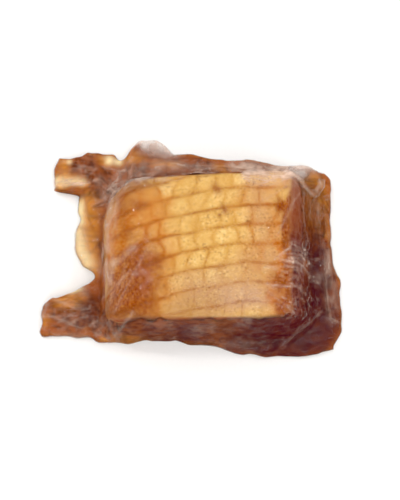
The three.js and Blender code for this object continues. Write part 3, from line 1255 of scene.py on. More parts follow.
@dataclass
class PorkBlock:
    """The rolled pork block: a rounded box inside the film, rind up, its two ends against the film.

    Attributes:
        form: The pouch round it.
        cells: Cells across, deep and up the side.
        front_inset, back_inset: How far each stands inside the film's wall at half height, mm.
        end_gap: How far its left and right ends lie inside the film, mm.
        gap: How far its rind lies below the film, mm.
        base: Its underside's height, mm.
        corner, back_left_corner: How round its upright corners are, mm.
        top_round, bottom_round: How round the rind's edge and the underside's are, mm.
        side_rings: The shares of the side's rings at which the upper rounding ends and the lower one starts.
        press: How far the net pressed the whole rind down, mm.
        layer: How thick the belly's layers are, mm, which stand out at the sides by layer_rise.
        lump: How wide the meat's lumps are, mm, which stand out by lump_rise.
        bundle: How wide the muscle bundles at the right end are, mm.
        drift: How far the rind's stains wander from their strokes, mm, over drift_size.
        left_end, right_end, dark_end: The x at which each starts and is full, mm.
        net: The net's marks.
        finish: What it is made of.
        orange, rust, pale, soaked_and_shade, blotches: Where the rind has that look; the thin lines along its
        front edge are painted shade.
        bruised: Where the right end is dark.
    """

    form: PouchForm
    cells: tuple[int, int, int] = (216, 172, 36)
    front_inset: float = 3.4
    back_inset: float = 3.2
    end_gap: float = 0.8
    gap: float = 0.45
    base: float = 0.9
    corner: float = 8.0
    back_left_corner: float = 24.0
    top_round: float = 5.0
    bottom_round: float = 7.0
    side_rings: Pair = (0.14, 0.84)
    press: float = 0.35
    layer: float = 7.5
    layer_rise: float = 0.9
    lump: float = 14.0
    lump_rise: float = 0.45
    bundle: float = 6.0
    drift: float = 8.0
    drift_size: float = 12.0
    left_end: Pair = (-43, -51)
    right_end: Pair = (58, 66)
    dark_end: Pair = (53, 60)
    net: NetMarks = field(default_factory=NetMarks)
    finish: BraisedPork = BraisedPork()
    orange: Strokes = (
        Stroke(((-34, 24), (-38, 6), (-36, -8)), 13), Stroke(((-22, 14), (-24, -8)), 10, 0.85),
        Stroke(((-18, 30), (-14, 20)), 6, 0.5), Stroke(((-12, -2), (-16, -20)), 8, 0.6),
        Stroke(((-18, -32), (-20, -46)), 8, 0.55), Stroke(((-46, 12), (-47, -14)), 6, 0.7),
        Stroke(((54, -8), (54, -46)), 5.5, 0.85), Stroke(((52, 32), (53, 10), (54, -10)), 6, 0.6),
        Stroke(((36, 22), (42, -12)), 11, 0.42),
    )
    rust: Strokes = (
        Stroke(((-28, -12), (-34, -26), (-38, -42)), 11), Stroke(((-22, -22), (-26, -36)), 7, 0.7),
        Stroke(((-47, -20), (-47, -46)), 8, 0.8), Stroke(((-34, -45), (-18, -46)), 6, 0.5),
        Stroke(((-38, 4),), 5, 0.6), Stroke(((-43, 26), (-39, 14)), 6, 0.6),
        Stroke(((-33, 20), (-26, 20)), 3.5, 0.7), Stroke(((59, 22), (58.5, 0), (59.5, -48)), 3.4, 0.95),
        Stroke(((57, -24), (57.5, -46)), 4.5, 0.8),
    )
    pale: Strokes = (
        Stroke(((0, -36), (50, -36)), 13, 0.95), Stroke(((20, -20), (50, -18)), 8, 0.5),
        Stroke(((44, 30), (46, 0), (44, -14)), 10, 0.75),
    )
    # Brown where sauce has steeped in; the thin lines along the front edge are painted shade
    soaked_and_shade: Strokes = (
        Stroke(((-52, 20), (-44, 31), (-34, 35), (-22, 39)), 6.5, 1.0),
        Stroke(((-52, -36), (-47, -46), (-32, -50)), 5, 0.8), Stroke(((-30, -50), (10, -50.5)), 2.4, 0.7),
        Stroke(((-30, -49), (20, -49.5)), 3, 0.5), Stroke(((-8, -44), (14, -42)), 9, 0.3),
    )
    blotches: Strokes = (
        Stroke(((15, 31.5), (17, 29.5)), 2.6), Stroke(((21, 18), (22.5, 15.5)), 2.2),
        Stroke(((18.5, 13.5),), 1.3), Stroke(((40, 34),), 1.4, 0.6), Stroke(((37, 9),), 1.2, 0.7),
    )
    bruised: Strokes = (
        Stroke(((68, -8), (69, -26), (67, -50)), 12), Stroke(((73, 24), (74, 8)), 3.5, 0.6),
        Stroke(((62, -53), (50, -54)), 4, 0.8),
    )

    def build(self) -> Object:
        """Build the block and dress it.

        Returns:
            The new piece.
        """
        across, deep, up = self.cells
        u, v = np.meshgrid(np.linspace(-1, 1, across + 1), np.linspace(-1, 1, deep + 1))
        border = loop_of(deep + 1, across + 1)
        u_low, v_low = u[::2, ::2], v[::2, ::2]
        boxes = [self._sheet(u, v, True).reshape(-1, 8)]
        boxes += [self._ring(u.ravel()[border], v.ravel()[border], k / up) for k in range(1, up)]
        boxes.append(self._sheet(u_low, v_low, False).reshape(-1, 8))
        placed, marks = self._shaped(np.concatenate(boxes))
        sizes = np.cumsum([len(part) for part in boxes])
        middle = np.append(self.form.middle, 0)
        parts = np.split(placed - middle, sizes[:-1])
        top, bottom = parts[0].reshape(*u.shape, 3), parts[-1].reshape(*u_low.shape, 3)
        points, faces = closed_box(top, parts[1:-1], bottom)
        piece = add_piece("pork_block", points, faces, marks)
        piece.data.materials.append(self.finish.material())
        return piece

    @property
    def half(self) -> Pair:
        """Half the block's width and depth.

        Returns:
            The two halves, mm.
        """
        wide = self.form.right_face.line_x(0.0) - self.form.left_face.line_x(0.0)
        long_ = self.form.back_face.line_y(0.0) - self.form.front_face.line_y(0.0)
        return wide / 2, long_ / 2

    def _plan(self, u: Array, v: Array) -> tuple[Array, Array, Array, Array]:
        """Fold a square onto the block's rounded plan.

        Args:
            u: Places across, -1 to 1.
            v: Places deep, -1 to 1.

        Returns:
            The inner point, the unit vector out from it, the corner's radius and how far out it lies.
        """
        half = np.array(self.half)
        round_ = np.where((u < 0) & (v > 0), self.back_left_corner, self.corner)
        spot = np.stack([u, v], axis=-1) * half
        inner = np.clip(spot, -(half - round_[..., None]), half - round_[..., None])
        out = spot - inner
        far = np.abs(out).max(axis=-1)
        length = np.maximum(np.hypot(out[..., 0], out[..., 1]), TINY)
        return inner, out / length[..., None], round_, far

    def _sheet(self, u: Array, v: Array, top: bool) -> Array:
        """Give the upper or lower sheet of the rounded box.

        Args:
            u: Places across, -1 to 1.
            v: Places deep, -1 to 1.
            top: Whether it is the upper sheet.

        Returns:
            For each point: x, y, height share, drop in mm, the way out in plan (two numbers), tilt and the
            tilt's cosine.
        """
        inner, out, round_, far = self._plan(u, v)
        edge = self.top_round if top else self.bottom_round
        into = np.clip(1 - (round_ - far) / edge, 0, 1)
        tilt = into * math.pi / 4
        reach = np.where(into > 0, round_ - edge + edge * np.sin(tilt), far)
        place = inner + out * reach[..., None]
        drop = edge * (1 - np.cos(tilt))
        if top:
            return self._packed(place, np.ones_like(u), drop, out, tilt)
        return self._packed(place, np.zeros_like(u), -drop, out, math.pi - tilt)

    def _ring(self, u: Array, v: Array, share: float) -> Array:
        """Give one ring of points round the side of the rounded box.

        Args:
            u: The border's places across.
            v: The border's places deep.
            share: 0 at the upper sheet's border, 1 at the lower one's.

        Returns:
            The same numbers as for a sheet.
        """
        inner, out, round_, _ = self._plan(u, v)
        start, end = self.side_rings
        quarter = math.pi / 4
        if share < start:
            tilt = quarter * (1 + share / start)
            reach = round_ - self.top_round * (1 - math.sin(tilt))
            height, drop, lean = 1.0, self.top_round * (1 - math.cos(tilt)), tilt
        elif share > end:
            tilt = quarter * (1 + (1 - share) / (1 - end))
            reach = round_ - self.bottom_round * (1 - math.sin(tilt))
            height, drop, lean = 0.0, -self.bottom_round * (1 - math.cos(tilt)), math.pi - tilt
        else:
            reach = round_
            height = 1 - (share - start) / (end - start)
            drop, lean = mix(-self.bottom_round, self.top_round, height), 2 * quarter
        place = inner + out * reach[..., None]
        return self._packed(place, np.full_like(u, height), np.full_like(u, drop), out, np.full_like(u, lean))

    @staticmethod
    def _packed(place: Array, height: Array, drop: Array, out: Array, tilt: Array) -> Array:
        """Stack a box point's numbers."""
        rows = [place[..., 0], place[..., 1], height, drop, out[..., 0], out[..., 1], tilt, np.cos(tilt)]
        return np.stack(rows, axis=-1)

    def _end_reach(self, face: Face, height: Array) -> Array:
        """Give how far an end stands past its face's line.

        Args:
            face: The face.
            height: Shares of the block's height.

        Returns:
            The distance at each height, mm.
        """
        share = np.linspace(0, 1, 200)
        along = np.interp(1 - np.clip(height, 0.02, 0.995), smooth_step(0, 1, share), share)
        return face.reach * (2 * along - 1) - self.end_gap

    def _shaped(self, data: Array) -> tuple[Array, Marks]:
        """Bend the rounded box to the block's real form and mark its surface.

        Args:
            data: Box points as _packed gives them.

        Returns:
            The points in mm on the plan's origin, and the marks.
        """
        half_x, half_y = self.half
        across = (data[:, 0] + half_x) / (2 * half_x)
        deep = (data[:, 1] + half_y) / (2 * half_y)
        form = self.form
        x = mix(form.left_face.line_x(0.0), form.right_face.line_x(0.0), across)
        y = mix(form.front_face.line_y(0.0), form.back_face.line_y(0.0), deep)
        for _ in range(2):
            top = form.block_top(x, y) - self.gap
            z = mix(self.base, top, data[:, 2]) - data[:, 3]
            height = (z - self.base) / (top - self.base)
            low = form.left_face.line_x(y) - self._end_reach(form.left_face, height)
            x = mix(low, form.right_face.line_x(y) + self._end_reach(form.right_face, height), across)
            front = form.front_face.line_y(x) + self.front_inset
            y = mix(front, form.back_face.line_y(x) - self.back_inset, deep)
        return self._surfaced(np.stack([x, y, z], axis=-1), data)

    def _surfaced(self, points: Array, data: Array) -> tuple[Array, Marks]:
        """Press the net into the rind, ripple the meat, keep it under the film and mark the colours.

        Args:
            points: The points, mm.
            data: Box points as _packed gives them.

        Returns:
            The points and the marks.
        """
        x, y, z = points.T
        upward = np.clip(data[:, 7], 0, 1)
        net = self.net.printed(x, y)
        on_rind = smooth_step(0.75, 0.97, upward)
        belly = layered_noise(np.stack([x * 0.3, y * 0.3, z], axis=-1) + 40, self.layer, Seed.BELLY, 2)
        lumps = layered_noise(points, self.lump, Seed.LUMPS, 3)
        at_end = smooth_step(*self.right_end, x)
        ripple = (self.layer_rise * belly + self.lump_rise * lumps) * (1 - 0.6 * at_end)
        rise = on_rind * (net.relief - self.press) + (1 - on_rind) * ripple
        out = data[:, 4:6] * np.sin(data[:, 6:7])
        points = points + np.concatenate([out, data[:, 7:8]], axis=1) * rise[:, None]
        ceiling = self.form.film_over(points[:, 0], points[:, 1]) - 0.7 * self.gap
        points[:, 2] = np.clip(points[:, 2], 0.6 * self.base, np.maximum(ceiling, self.base))
        marks = self._rind_colours(x, y, on_rind, net)
        at_left = smooth_step(*self.left_end, x)
        ragged = 0.2 * lumps + 0.3 * at_end * layered_noise(points, 5, Seed.RAGGED, 3)
        side = (1 - smooth_step(0.45, 0.9, upward + ragged)) * (1 - 0.85 * at_left)
        # The left end is also darker towards its foot
        marks[Mark.SOAKED_AND_SHADE] = np.maximum(marks[Mark.SOAKED_AND_SHADE], at_left * smooth_step(34, 10, z + 8 * lumps))
        marks[Mark.FAT] = side
        marks[Mark.LEAN] = side * smooth_step(-0.25, 0.1, belly + 1.2 * at_end)
        marks |= self._end_colours(points, side)
        return points, marks

    def _end_colours(self, points: Array, side: Array) -> Marks:
        """Mark the dark muscle bundles at the right end and the pale seams between them.

        Args:
            points: The points, mm.
            side: Where the block's sides are, 0 to 1.

        Returns:
            The marks.
        """
        x, y, z = points.T
        spots = flat_points(x, y)
        ragged_x = x + 3 * layered_noise(spots, 9, Seed.BRUISE_EDGE, 2)
        zone = np.clip(1.5 * painted(self.bruised, ragged_x, y), 0, 1)
        zone = zone * side * smooth_step(*self.dark_end, x)
        down = x + 0.15 * (self.form.crown_top - z)
        bent = down + 1.2 * lattice_noise(spots, 4, Seed.BUNDLE_BEND)
        near, next_ = nearest_two(bent, y, self.bundle, Seed.BUNDLES)
        seam = 1 - smooth_step(0.02, 0.22, next_ - near)
        muscle = 0.75 + 0.25 * smooth_step(0.1, 0.5, next_ - near)
        return {Mark.BRUISE: zone * muscle, Mark.VEIN: zone * seam}

    def _rind_colours(self, x: Array, y: Array, on_rind: Array, net: NetPrint) -> Marks:
        """Mark where the rind is pale, orange, rusty, steeped in sauce or painted with shade, blotched and
        pored.

        Args:
            x, y: Places, mm.
            on_rind: Where the rind is, 0 to 1.
            net: The net's print.

        Returns:
            The marks.
        """
        spots = flat_points(x, y)
        fine = layered_noise(spots, 5, Seed.RIND_GRAIN, 3)
        drift_x = x + self.drift * layered_noise(spots, self.drift_size, Seed.RIND_DRIFT_X, 3)
        drift_y = y + self.drift * layered_noise(spots, self.drift_size, Seed.RIND_DRIFT_Y, 3)
        past = self.form.past_walls(x, y)
        edge = smooth_step(-1.35, -0.8, past + 0.4 * fine)
        not_left = smooth_step(-50, -36, drift_x)
        at_left = smooth_step(-14, -34, x)
        orange = np.clip(1.15 * painted(self.orange, drift_x, drift_y), 0, 1)
        # The rind's right margin, which goes out to the right towards the back
        margin = 56 + 0.4 * np.clip(y - 13, 0, 20)
        at_end = smooth_step(-3, 2, mix(x, drift_x, 0.35) - margin)
        rust = np.clip(1.15 * painted(self.rust, drift_x, drift_y), 0, 1) * (1 - 0.1 * net.cell)
        rust = np.maximum(rust, at_end)
        between = orange * (1 - (0.6 - 0.15 * at_left) * net.cell)
        return {
            Mark.CREAM: net.cell * np.clip(0.85 + 0.7 * fine, 0, 1) * (1 - 0.55 * orange * at_left),
            Mark.PALE: painted(self.pale, drift_x, drift_y),
            Mark.ORANGE: np.maximum(between, 0.9 * rust) + 0.3 * net.cord,
            Mark.RUST: rust,
            Mark.SOAKED_AND_SHADE: np.maximum(0.6 * edge * not_left, painted(self.soaked_and_shade, drift_x, drift_y)),
            Mark.CORD: net.cord * on_rind,
            Mark.BLOTCH: painted(self.blotches, x + 1.2 * fine, y - 1.2 * fine),
            Mark.PORE: on_rind * np.clip(0.6 + fine, 0, 1),
        }


# The film and the sauce


@dataclass(frozen=True)
class Crease:
    """A sharp crease in the film.

    Attributes:
        points: A broken line in plan, mm.
        rise: How far it stands up, or is pressed in if below 0, mm.
        width: How wide it is, mm.
        haze: How milky it is, 0 to 1.
    """

    points: Line
    rise: float
    width: float
    haze: float

    def worked(self, x: Array, y: Array) -> tuple[Array, Array]:
        """Work out the crease at places in plan, fading at its ends.

        Args:
            x, y: Places, mm.

        Returns:
            Its rise in mm and how milky it is.
        """
        gap, along = distance_to_line(x, y, self.points)
        share = np.exp(-np.abs(gap) / self.width) * faded_ends(along)
        return self.rise * share, self.haze * share


@dataclass(frozen=True)
class Curl:
    """A tube that the film's edge has rolled itself into, milky along both its sides.

    Attributes:
        points: A broken line in plan, mm.
        half: Half its width, mm.
        rise: How far it stands up, mm.
        haze: How milky it is, 0 to 1.
    """

    points: Line
    half: float
    rise: float
    haze: float

    def worked(self, x: Array, y: Array) -> tuple[Array, Array]:
        """Work out the tube at places in plan.

        Args:
            x, y: Places, mm.

        Returns:
            Its rise in mm and how milky it is.
        """
        gap, along = distance_to_line(x, y, self.points)
        out = np.clip(np.abs(gap) / self.half, 0, 1)
        share = np.sqrt(1 - out**2) * faded_ends(along)
        sides = smooth_step(0.2, 0.8, out) * (1 - smooth_step(0.9, 1, out))
        return self.rise * share, self.haze * (0.35 + 0.65 * sides) * np.minimum(1, 2 * share)


@dataclass(frozen=True)
class Ruck:
    """A band of fine wrinkles that run along a line.

    Attributes:
        points: A broken line in plan, mm.
        half: Half the band's width, mm.
        spacing: How far apart the wrinkles lie, mm.
        rise: How far they stand up, mm.
        haze: How milky they are, 0 to 1.
        seed: Which wrinkles.
        stretch: How long a wrinkle is, in times their spacing.
    """

    points: Line
    half: float
    spacing: float
    rise: float
    haze: float
    seed: int
    stretch: float = 7.0

    def worked(self, x: Array, y: Array) -> tuple[Array, Array, Array, Array]:
        """Work out the wrinkles at places in plan.

        Args:
            x, y: Places, mm.

        Returns:
            Their rise in mm, how milky they are, and how far across and along them each place lies, in
            wrinkles.
        """
        gap, share = distance_to_line(x, y, self.points)
        length = np.hypot(*np.diff(np.array(self.points), axis=0).T).sum()
        across, along = gap / self.spacing, share * length / (self.stretch * self.spacing)
        stretched = np.stack([across / 1.6, along / 1.6, np.zeros_like(x)], axis=-1)
        ridge = np.clip(1 - 2.6 * np.abs(layered_noise(stretched, 1.0, self.seed, 2)), 0, 1)
        band = np.exp(-((gap / self.half) ** 2)) * faded_ends(share)
        return self.rise * (ridge - 0.3) * band, self.haze * band, across, along


@dataclass(frozen=True)
class Fan:
    """Strands of gathered film that spread from a place.

    Attributes:
        middle: Where they spread from, mm.
        turn: The directions of the first and the last strand, degrees from +X.
        reach: How far from the middle they start and end, mm.
        count: How many there are.
        rise: How far they stand up, or are pressed in if below 0, mm.
        haze: How milky they are, 0 to 1.
        seed: Which strands.
        width: How wide each is, mm.
    """

    middle: Pair
    turn: Pair
    reach: Pair
    count: int
    rise: float
    haze: float
    seed: int
    width: float = 0.5

    def strands(self) -> tuple[Crease, ...]:
        """Draw the strands, uneven in length and slightly bent.

        Returns:
            The strands.
        """
        rng = np.random.default_rng(self.seed)
        strands = []
        for i in range(self.count):
            turn = math.radians(mix(*self.turn, (i + rng.uniform()) / self.count))
            bend, start, end = rng.uniform(-0.5, 0.5), rng.uniform(0.5, 1.5), rng.uniform(0.6, 1.1)
            out = np.linspace(start * self.reach[0], end * self.reach[1], 5)
            way = turn + bend * (out - out[0]) / self.reach[1]
            line = np.array(self.middle) + np.stack([out * np.cos(way), out * np.sin(way)], axis=1)
            share = rng.uniform(0.35, 1)
            strands.append(Crease(tuple(map(tuple, line)), self.rise * share, self.width, self.haze * share))
        return tuple(strands)


def faded_ends(along: Array) -> Array:
    """Give a share that falls to nothing at both ends of a line."""
    return smooth_step(0, 0.12, along) * (1 - smooth_step(0.88, 1, along))


@dataclass
class FilmWrinkles:
    """How the shrunk film is wrinkled: single creases, bands of fine wrinkles and flat facets.

    Attributes:
        form: The pouch.
        creases: The creases that stand out by themselves.
        fans: Strands that spread over the block's corners and its right end.
        curls: Where the film has rolled itself into a tube.
        rucks: Bands of fine wrinkles.
        blooms_and_highlights: Where the film is milky all over; the dabs on the left shoulder, the patch on
            the rind's lower right and the line along the upper ear's slit are painted highlights.
        seams: Where milky lines run between bubbles.
        spacings: How far apart the straight creases between facets lie, mm.
        steepness: How high a facet is beside its width.
        edge: How wide the milky line along a facet's edge is to each side, mm; it is partly a painted
            highlight on the fold.
        deepest: How far the film can be pressed in, mm.
        most_haze: The milkiest that it gets, 0 to 1.
        loose_zone: Where the film starts to lie loose and is loose, in times the walls' reach past them.
        ear_zone: The x at which the ears start and are full, mm.
        rim_zone: How far inside the rim the wrinkles have their full height, mm.
        break_size, patch_size, tear_size: How wide gaps in the haze, on the walls and in seams are, mm.
        seed: Which facets and broken places.
        coordinate_span: How many wrinkles the marks across and along them span from 0 to 1.
    """

    form: PouchForm
    creases: tuple[Crease, ...] = (
        Crease(((67.5, 31.7), (59.3, 13.7), (52.4, -1)), 0.7, 0.6, 0.2),
        Crease(((70.8, 36), (71.4, 22), (72.7, 7), (69.7, -11)), 0.9, 0.6, 0.2),
        Crease(((68, 34.5), (58.4, 35), (47, 33)), 0.5, 0.6, 0.2),
        Crease(((55.6, -61), (63, -55), (74, -47.7), (85.6, -35.8)), 1.2, 0.45, 0.22),
        Crease(((87.7, -9), (86.8, -20), (87.6, -34), (88.6, -42), (95, -45)), 1.2, 0.6, 0.28),
        Crease(((-49, -54), (-42, -52.4), (-36, -48.6), (-33.4, -44)), 1.0, 0.6, 0.3),
        Crease(((-47, -48), (-39, -32), (-30, -15.5), (-24, -3.3)), 0.5, 0.6, 0.16),
        Crease(((-54, -37.7), (-45, -28.7), (-34.2, -18.9)), 0.5, 0.6, 0.16),
        Crease(((-59, 58), (-49.4, 56), (-41.2, 54)), 0.8, 0.6, 0.35),
        Crease(((-48.5, 39.4), (-46.6, 52.2), (-40, 60), (-35, 65)), 1.2, 1.4, 0.22),
        Crease(((-44.7, 56), (-34.5, 50.5), (-25.9, 50)), 1.0, 1.2, 0.24),
        Crease(((-44, 36), (-52, 44), (-62, 50)), 1.4, 1.6, 0.2),
        Crease(((-30, 40), (-26, 50), (-17, 56)), 1.2, 1.4, 0.24),
        Crease(((-16.5, 60), (16, 58), (51.8, 55)), 0.7, 0.6, 0.15),
        Crease(((73, 33), (74.5, 20), (73, 8)), -1.0, 0.9, 0.0),
        Crease(((79.5, 33), (80, 18), (78, 6)), -1.0, 0.9, 0.0),
        Crease(((85, 34), (86.5, 22), (85, 10)), -1.0, 0.9, 0.0),
        Crease(((76.5, 34), (77.5, 20)), 1.0, 0.8, 0.22),
        Crease(((82.5, 34), (83.5, 20)), 1.0, 0.8, 0.22),
        Crease(((-54, -54.4), (-31, -54), (-9, -53.5), (25, -55.3)), 0.7, 0.5, 0.05),
        Crease(((-36, -50.8), (-6, -52.3), (27.4, -51)), 0.5, 0.5, 0.05),
        Crease(((-72.6, 60.7), (-70.4, 52.4), (-67.5, 44.4)), 0.8, 0.6, 0.15),
        Crease(((-91.9, -39), (-82, -44), (-69.8, -48.3), (-57, -45)), 0.9, 0.6, 0.15),
    )
    fans: tuple[Fan, ...] = (
        Fan((-41, 36), (75, 200), (4, 24), 8, 1.8, 0.26, 401, 1.6),
        Fan((-41, 36), (60, 205), (4, 24), 9, -1.2, 0.0, 411, 0.8),
        Fan((44, -12), (-24, 24), (17, 38), 15, 0.5, 0.34, 402, 0.45),
        Fan((-50, -45), (165, 290), (2, 14), 6, 1.8, 0.2, 403, 1.3),
        Fan((-50, -45), (160, 295), (2, 15), 7, -1.2, 0.0, 412, 0.8),
        Fan((-56, -52), (38, 76), (10, 56), 14, 0.4, 0.09, 404, 0.4),
        Fan((64, 37), (165, 300), (3, 26), 9, 0.5, 0.14, 405),
        Fan((67, -48), (250, 350), (3, 20), 8, 0.6, 0.03, 406),
        Fan((28, -22), (-40, 28), (27, 42), 24, 0.4, 0.4, 407, 0.3),
        Fan((83, 45), (200, 300), (3, 24), 7, -1.0, 0.0, 413, 0.9),
        Fan((-58, 50), (150, 240), (4, 26), 6, -1.0, 0.0, 414, 0.9),
        Fan((-58, -36), (150, 215), (4, 36), 8, -0.9, 0.0, 415, 0.8),
        Fan((-58, -38), (150, 210), (6, 36), 9, 0.7, 0.22, 416, 0.5),
        Fan((-47, 37), (225, 285), (3, 28), 6, 0.8, 0.16, 417, 0.9),
        Fan((-46, 38), (-14, 8), (3, 36), 5, 0.5, 0.2, 418, 0.8),
    )
    curls: tuple[Curl, ...] = (
        Curl(((56, 43), (63, 41), (70, 38.5), (76, 37), (81, 38.6), (84.4, 44), (85.4, 51)), 2.4, 2.2, 0.42),
        Curl(((86, 36), (91, 38), (93.5, 35)), 1.6, 1.6, 0.2),
    )
    rucks: tuple[Ruck, ...] = (
        Ruck(((-42, 38), (-47, 24), (-50, 8), (-50.5, -10), (-50, -30), (-52, -48)), 5.0, 4.2, 0.6, 0.2, 201),
        Ruck(((-58, 28), (-52, 41), (-44, 48), (-32, 52.5), (-14, 55), (4, 55.5)), 6.0, 3.2, 0.8, 0.22, 203),
        Ruck(((-24, 53), (4, 54), (34, 54), (62, 53)), 4.5, 2.8, 0.6, 0.22, 205),
        Ruck(((-53, 10), (-47, 26), (-38, 33), (-22, 36.5), (0, 38)), 3.0, 2.4, 0.4, 0.2, 206),
        Ruck(((-54, -52.5), (-20, -53.5), (14, -53.5), (48, -54.5), (66, -54)), 3.6, 2.4, 0.5, 0.08, 207),
        Ruck(((-58, -48), (-44, -30), (-30, -10), (-24, 6)), 9.0, 2.8, 0.35, 0.05, 209),
        Ruck(((-60, -34), (-58, -46), (-50, -53), (-40, -54)), 4.5, 3.2, 0.9, 0.12, 211),
        Ruck(((86, 34), (86, 10), (87, -10), (89, -40)), 5.0, 3.0, 0.6, 0.12, 213),
        Ruck(((-58, 56), (-72, 58), (-90, 56)), 9.0, 4.5, 0.9, 0.12, 215),
        Ruck(((-56, -42), (-74, -40), (-98, -42)), 10.0, 4.5, 1.0, 0.08, 217),
        Ruck(((60, -60), (78, -56), (88, -48)), 6.0, 5.0, 0.5, 0.0, 219),
        Ruck(((30, 40), (46, 38), (64, 40)), 6.0, 3.2, 0.4, 0.36, 221),
        Ruck(((-92, 47), (-78, 47.5), (-62, 47)), 3.0, 2.4, 0.5, 0.25, 223),
    )
    # Milky film; the dabs on the left shoulder, the patch on the rind's lower right and the line along the
    # upper ear's slit are painted highlights
    blooms_and_highlights: Strokes = (
        Stroke(((-50, 18), (-50.5, 8), (-50, -8), (-49, -26)), 4.0, 0.2),
        Stroke(((-52.5, 22), (-54, 8), (-54, -6)), 2.6, 0.34), Stroke(((-54.5, -2),), 2.2, 0.45),
        Stroke(((-53.5, 16),), 2.2, 0.35), Stroke(((-54, 38), (-48, 46), (-36, 51), (-27, 56)), 5, 0.16),
        Stroke(((-50, 30), (-42, 34.5), (-32, 38), (-24, 40)), 2.6, 0.3),
        Stroke(((38, 41), (62, 40)), 6, 0.55), Stroke(((62, 54), (74, 53)), 4, 0.1),
        Stroke(((64, 54), (72, 46)), 4, 0.2), Stroke(((26, -35), (42, -37)), 8, 0.2),
        Stroke(((-23, -54), (-11, -54.5)), 2.6, 0.16), Stroke(((2, -53.5), (14, -54)), 2.6, 0.1),
        Stroke(((25, -51), (36, -50.5)), 1.8, 0.16), Stroke(((30, 57.5), (62, 54)), 5, 0.75),
        Stroke(((-31, 73), (-14, 70)), 7, 0.45), Stroke(((34, 58.5), (43, 57)), 3.5, 0.35),
        Stroke(((-5, 59), (3, 58)), 3.5, 0.14), Stroke(((64, 59), (80, 60)), 6, 0.6),
        Stroke(((-88, 48.4), (-70, 46)), 1.8, 0.4), Stroke(((88, -6), (92, -26), (90, -42)), 4, 0.14),
        Stroke(((-75, -22.5), (-70, -22), (-67, -26)), 3, 0.3), Stroke(((-28, 56), (14, 56)), 4.5, 0.26),
        Stroke(((22, -58), (40, -59)), 4, 0.14), Stroke(((89, 3), (89, -9)), 1.6, 0.2),
        Stroke(((68, 38), (78, 36)), 4, 0.12), Stroke(((75, -12), (82, -15)), 4, 0.16),
        Stroke(((71, -36), (73, -42)), 3, 0.22), Stroke(((68, -30), (71, -28)), 2, 0.2),
        Stroke(((-46, -15), (-34, -6)), 2.4, 0.2), Stroke(((-96, -40), (-93, -33)), 3, 0.3),
        Stroke(((-84, -54), (-66, -54)), 2.5, 0.25), Stroke(((-55, -2), (-57, -12)), 3, 0.25),
    )
    seams: Strokes = (
        Stroke(((70, 4), (74, -24), (71, -42)), 8, 0.56), Stroke(((61, -6), (61, -46)), 4, 0.22),
        Stroke(((34, -54), (58, -57)), 5, 0.2),
    )
    spacings: tuple[float, ...] = (31.0, 21.0, 14.0, 9.5)
    steepness: float = 0.05
    edge: float = 0.6
    deepest: float = 0.3
    most_haze: float = 0.85
    loose_zone: Pair = (-1.3, -0.2)
    ear_zone: Pair = (-57, -62)
    rim_zone: float = 5.0
    break_size: float = 5.0
    patch_size: float = 10.0
    tear_size: float = 4.5
    seed: int = 5
    coordinate_span: float = 64.0

    def worked(self, plan: Plan, points: Array) -> tuple[Array, Marks, Array]:
        """Work out the wrinkles over the pouch.

        Args:
            plan: The film's grid.
            points: The grid's points on the smooth film, mm.

        Returns:
            The rise along the film's normal in mm, the film's marks, and how near a valley each point is.
        """
        x, y = plan.x, plan.y
        past = self.form.past_walls(x, y)
        loose = smooth_step(*self.loose_zone, past)
        inside = smooth_step(0, self.rim_zone, plan.from_rim)
        facets, edges, valleys = self._facets(x, y)
        # How near a valley each point is; the sauce is painted darker there as shade
        valleys = 0.55 * valleys
        on_rind = 0.05 * facets + 0.3 * NetMarks().printed(x, y).relief
        rise = loose * inside * facets + (1 - loose) * on_rind
        broken = np.clip(0.75 + 0.9 * layered_noise(points, self.break_size, self.seed + 60, 3), 0, 1)
        on_ear = smooth_step(*self.ear_zone, x)
        on_wall = smooth_step(-0.9, -0.4, past) * (1 - smooth_step(0.5, 1, past))
        at_back = smooth_step(-0.8, -0.2, self.form.back_face.past(x, y))
        patches = np.clip(0.55 + 1.6 * layered_noise(points, self.patch_size, self.seed + 70, 3), 0, 1.3)
        broken = broken * mix(1, patches * (1 - 0.5 * at_back), on_wall)
        # Milky lines along the facets' edges, partly a painted highlight on each fold, strongest on the ears
        haze = ((0.04 + 0.12 * on_ear) * loose * edges + painted(self.blooms_and_highlights, x, y)) * broken
        strands = sum((fan.strands() for fan in self.fans), ())
        for one in self.creases + strands + self.curls:
            one_rise, one_haze = one.worked(x, y)
            rise = rise + one_rise * inside
            haze = haze + one_haze * (1 - haze) * (0.5 + 0.5 * broken)
            if one.rise < 0:
                valleys = np.maximum(valleys, one_rise / one.rise)
        ruck, across, along = np.zeros((3, *x.shape))
        for one in self.rucks:
            one_rise, band, one_across, one_along = one.worked(x, y)
            rise = rise + one_rise * inside
            across = np.where(band > ruck, one_across, across)
            along = np.where(band > ruck, one_along, along)
            ruck = np.maximum(ruck, band)
        torn = np.clip(3 * layered_noise(points, self.tear_size, self.seed + 61, 2) + 0.1, 0, 1)
        marks = {
            Mark.HAZE_AND_HIGHLIGHTS: np.clip(haze, 0, self.most_haze),
            Mark.RUCK: ruck * broken,
            Mark.ACROSS: 0.5 + across / self.coordinate_span,
            Mark.ALONG: along / self.coordinate_span,
            Mark.SEAM: painted(self.seams, x, y) * torn,
        }
        return np.maximum(rise, -self.deepest), marks, valleys

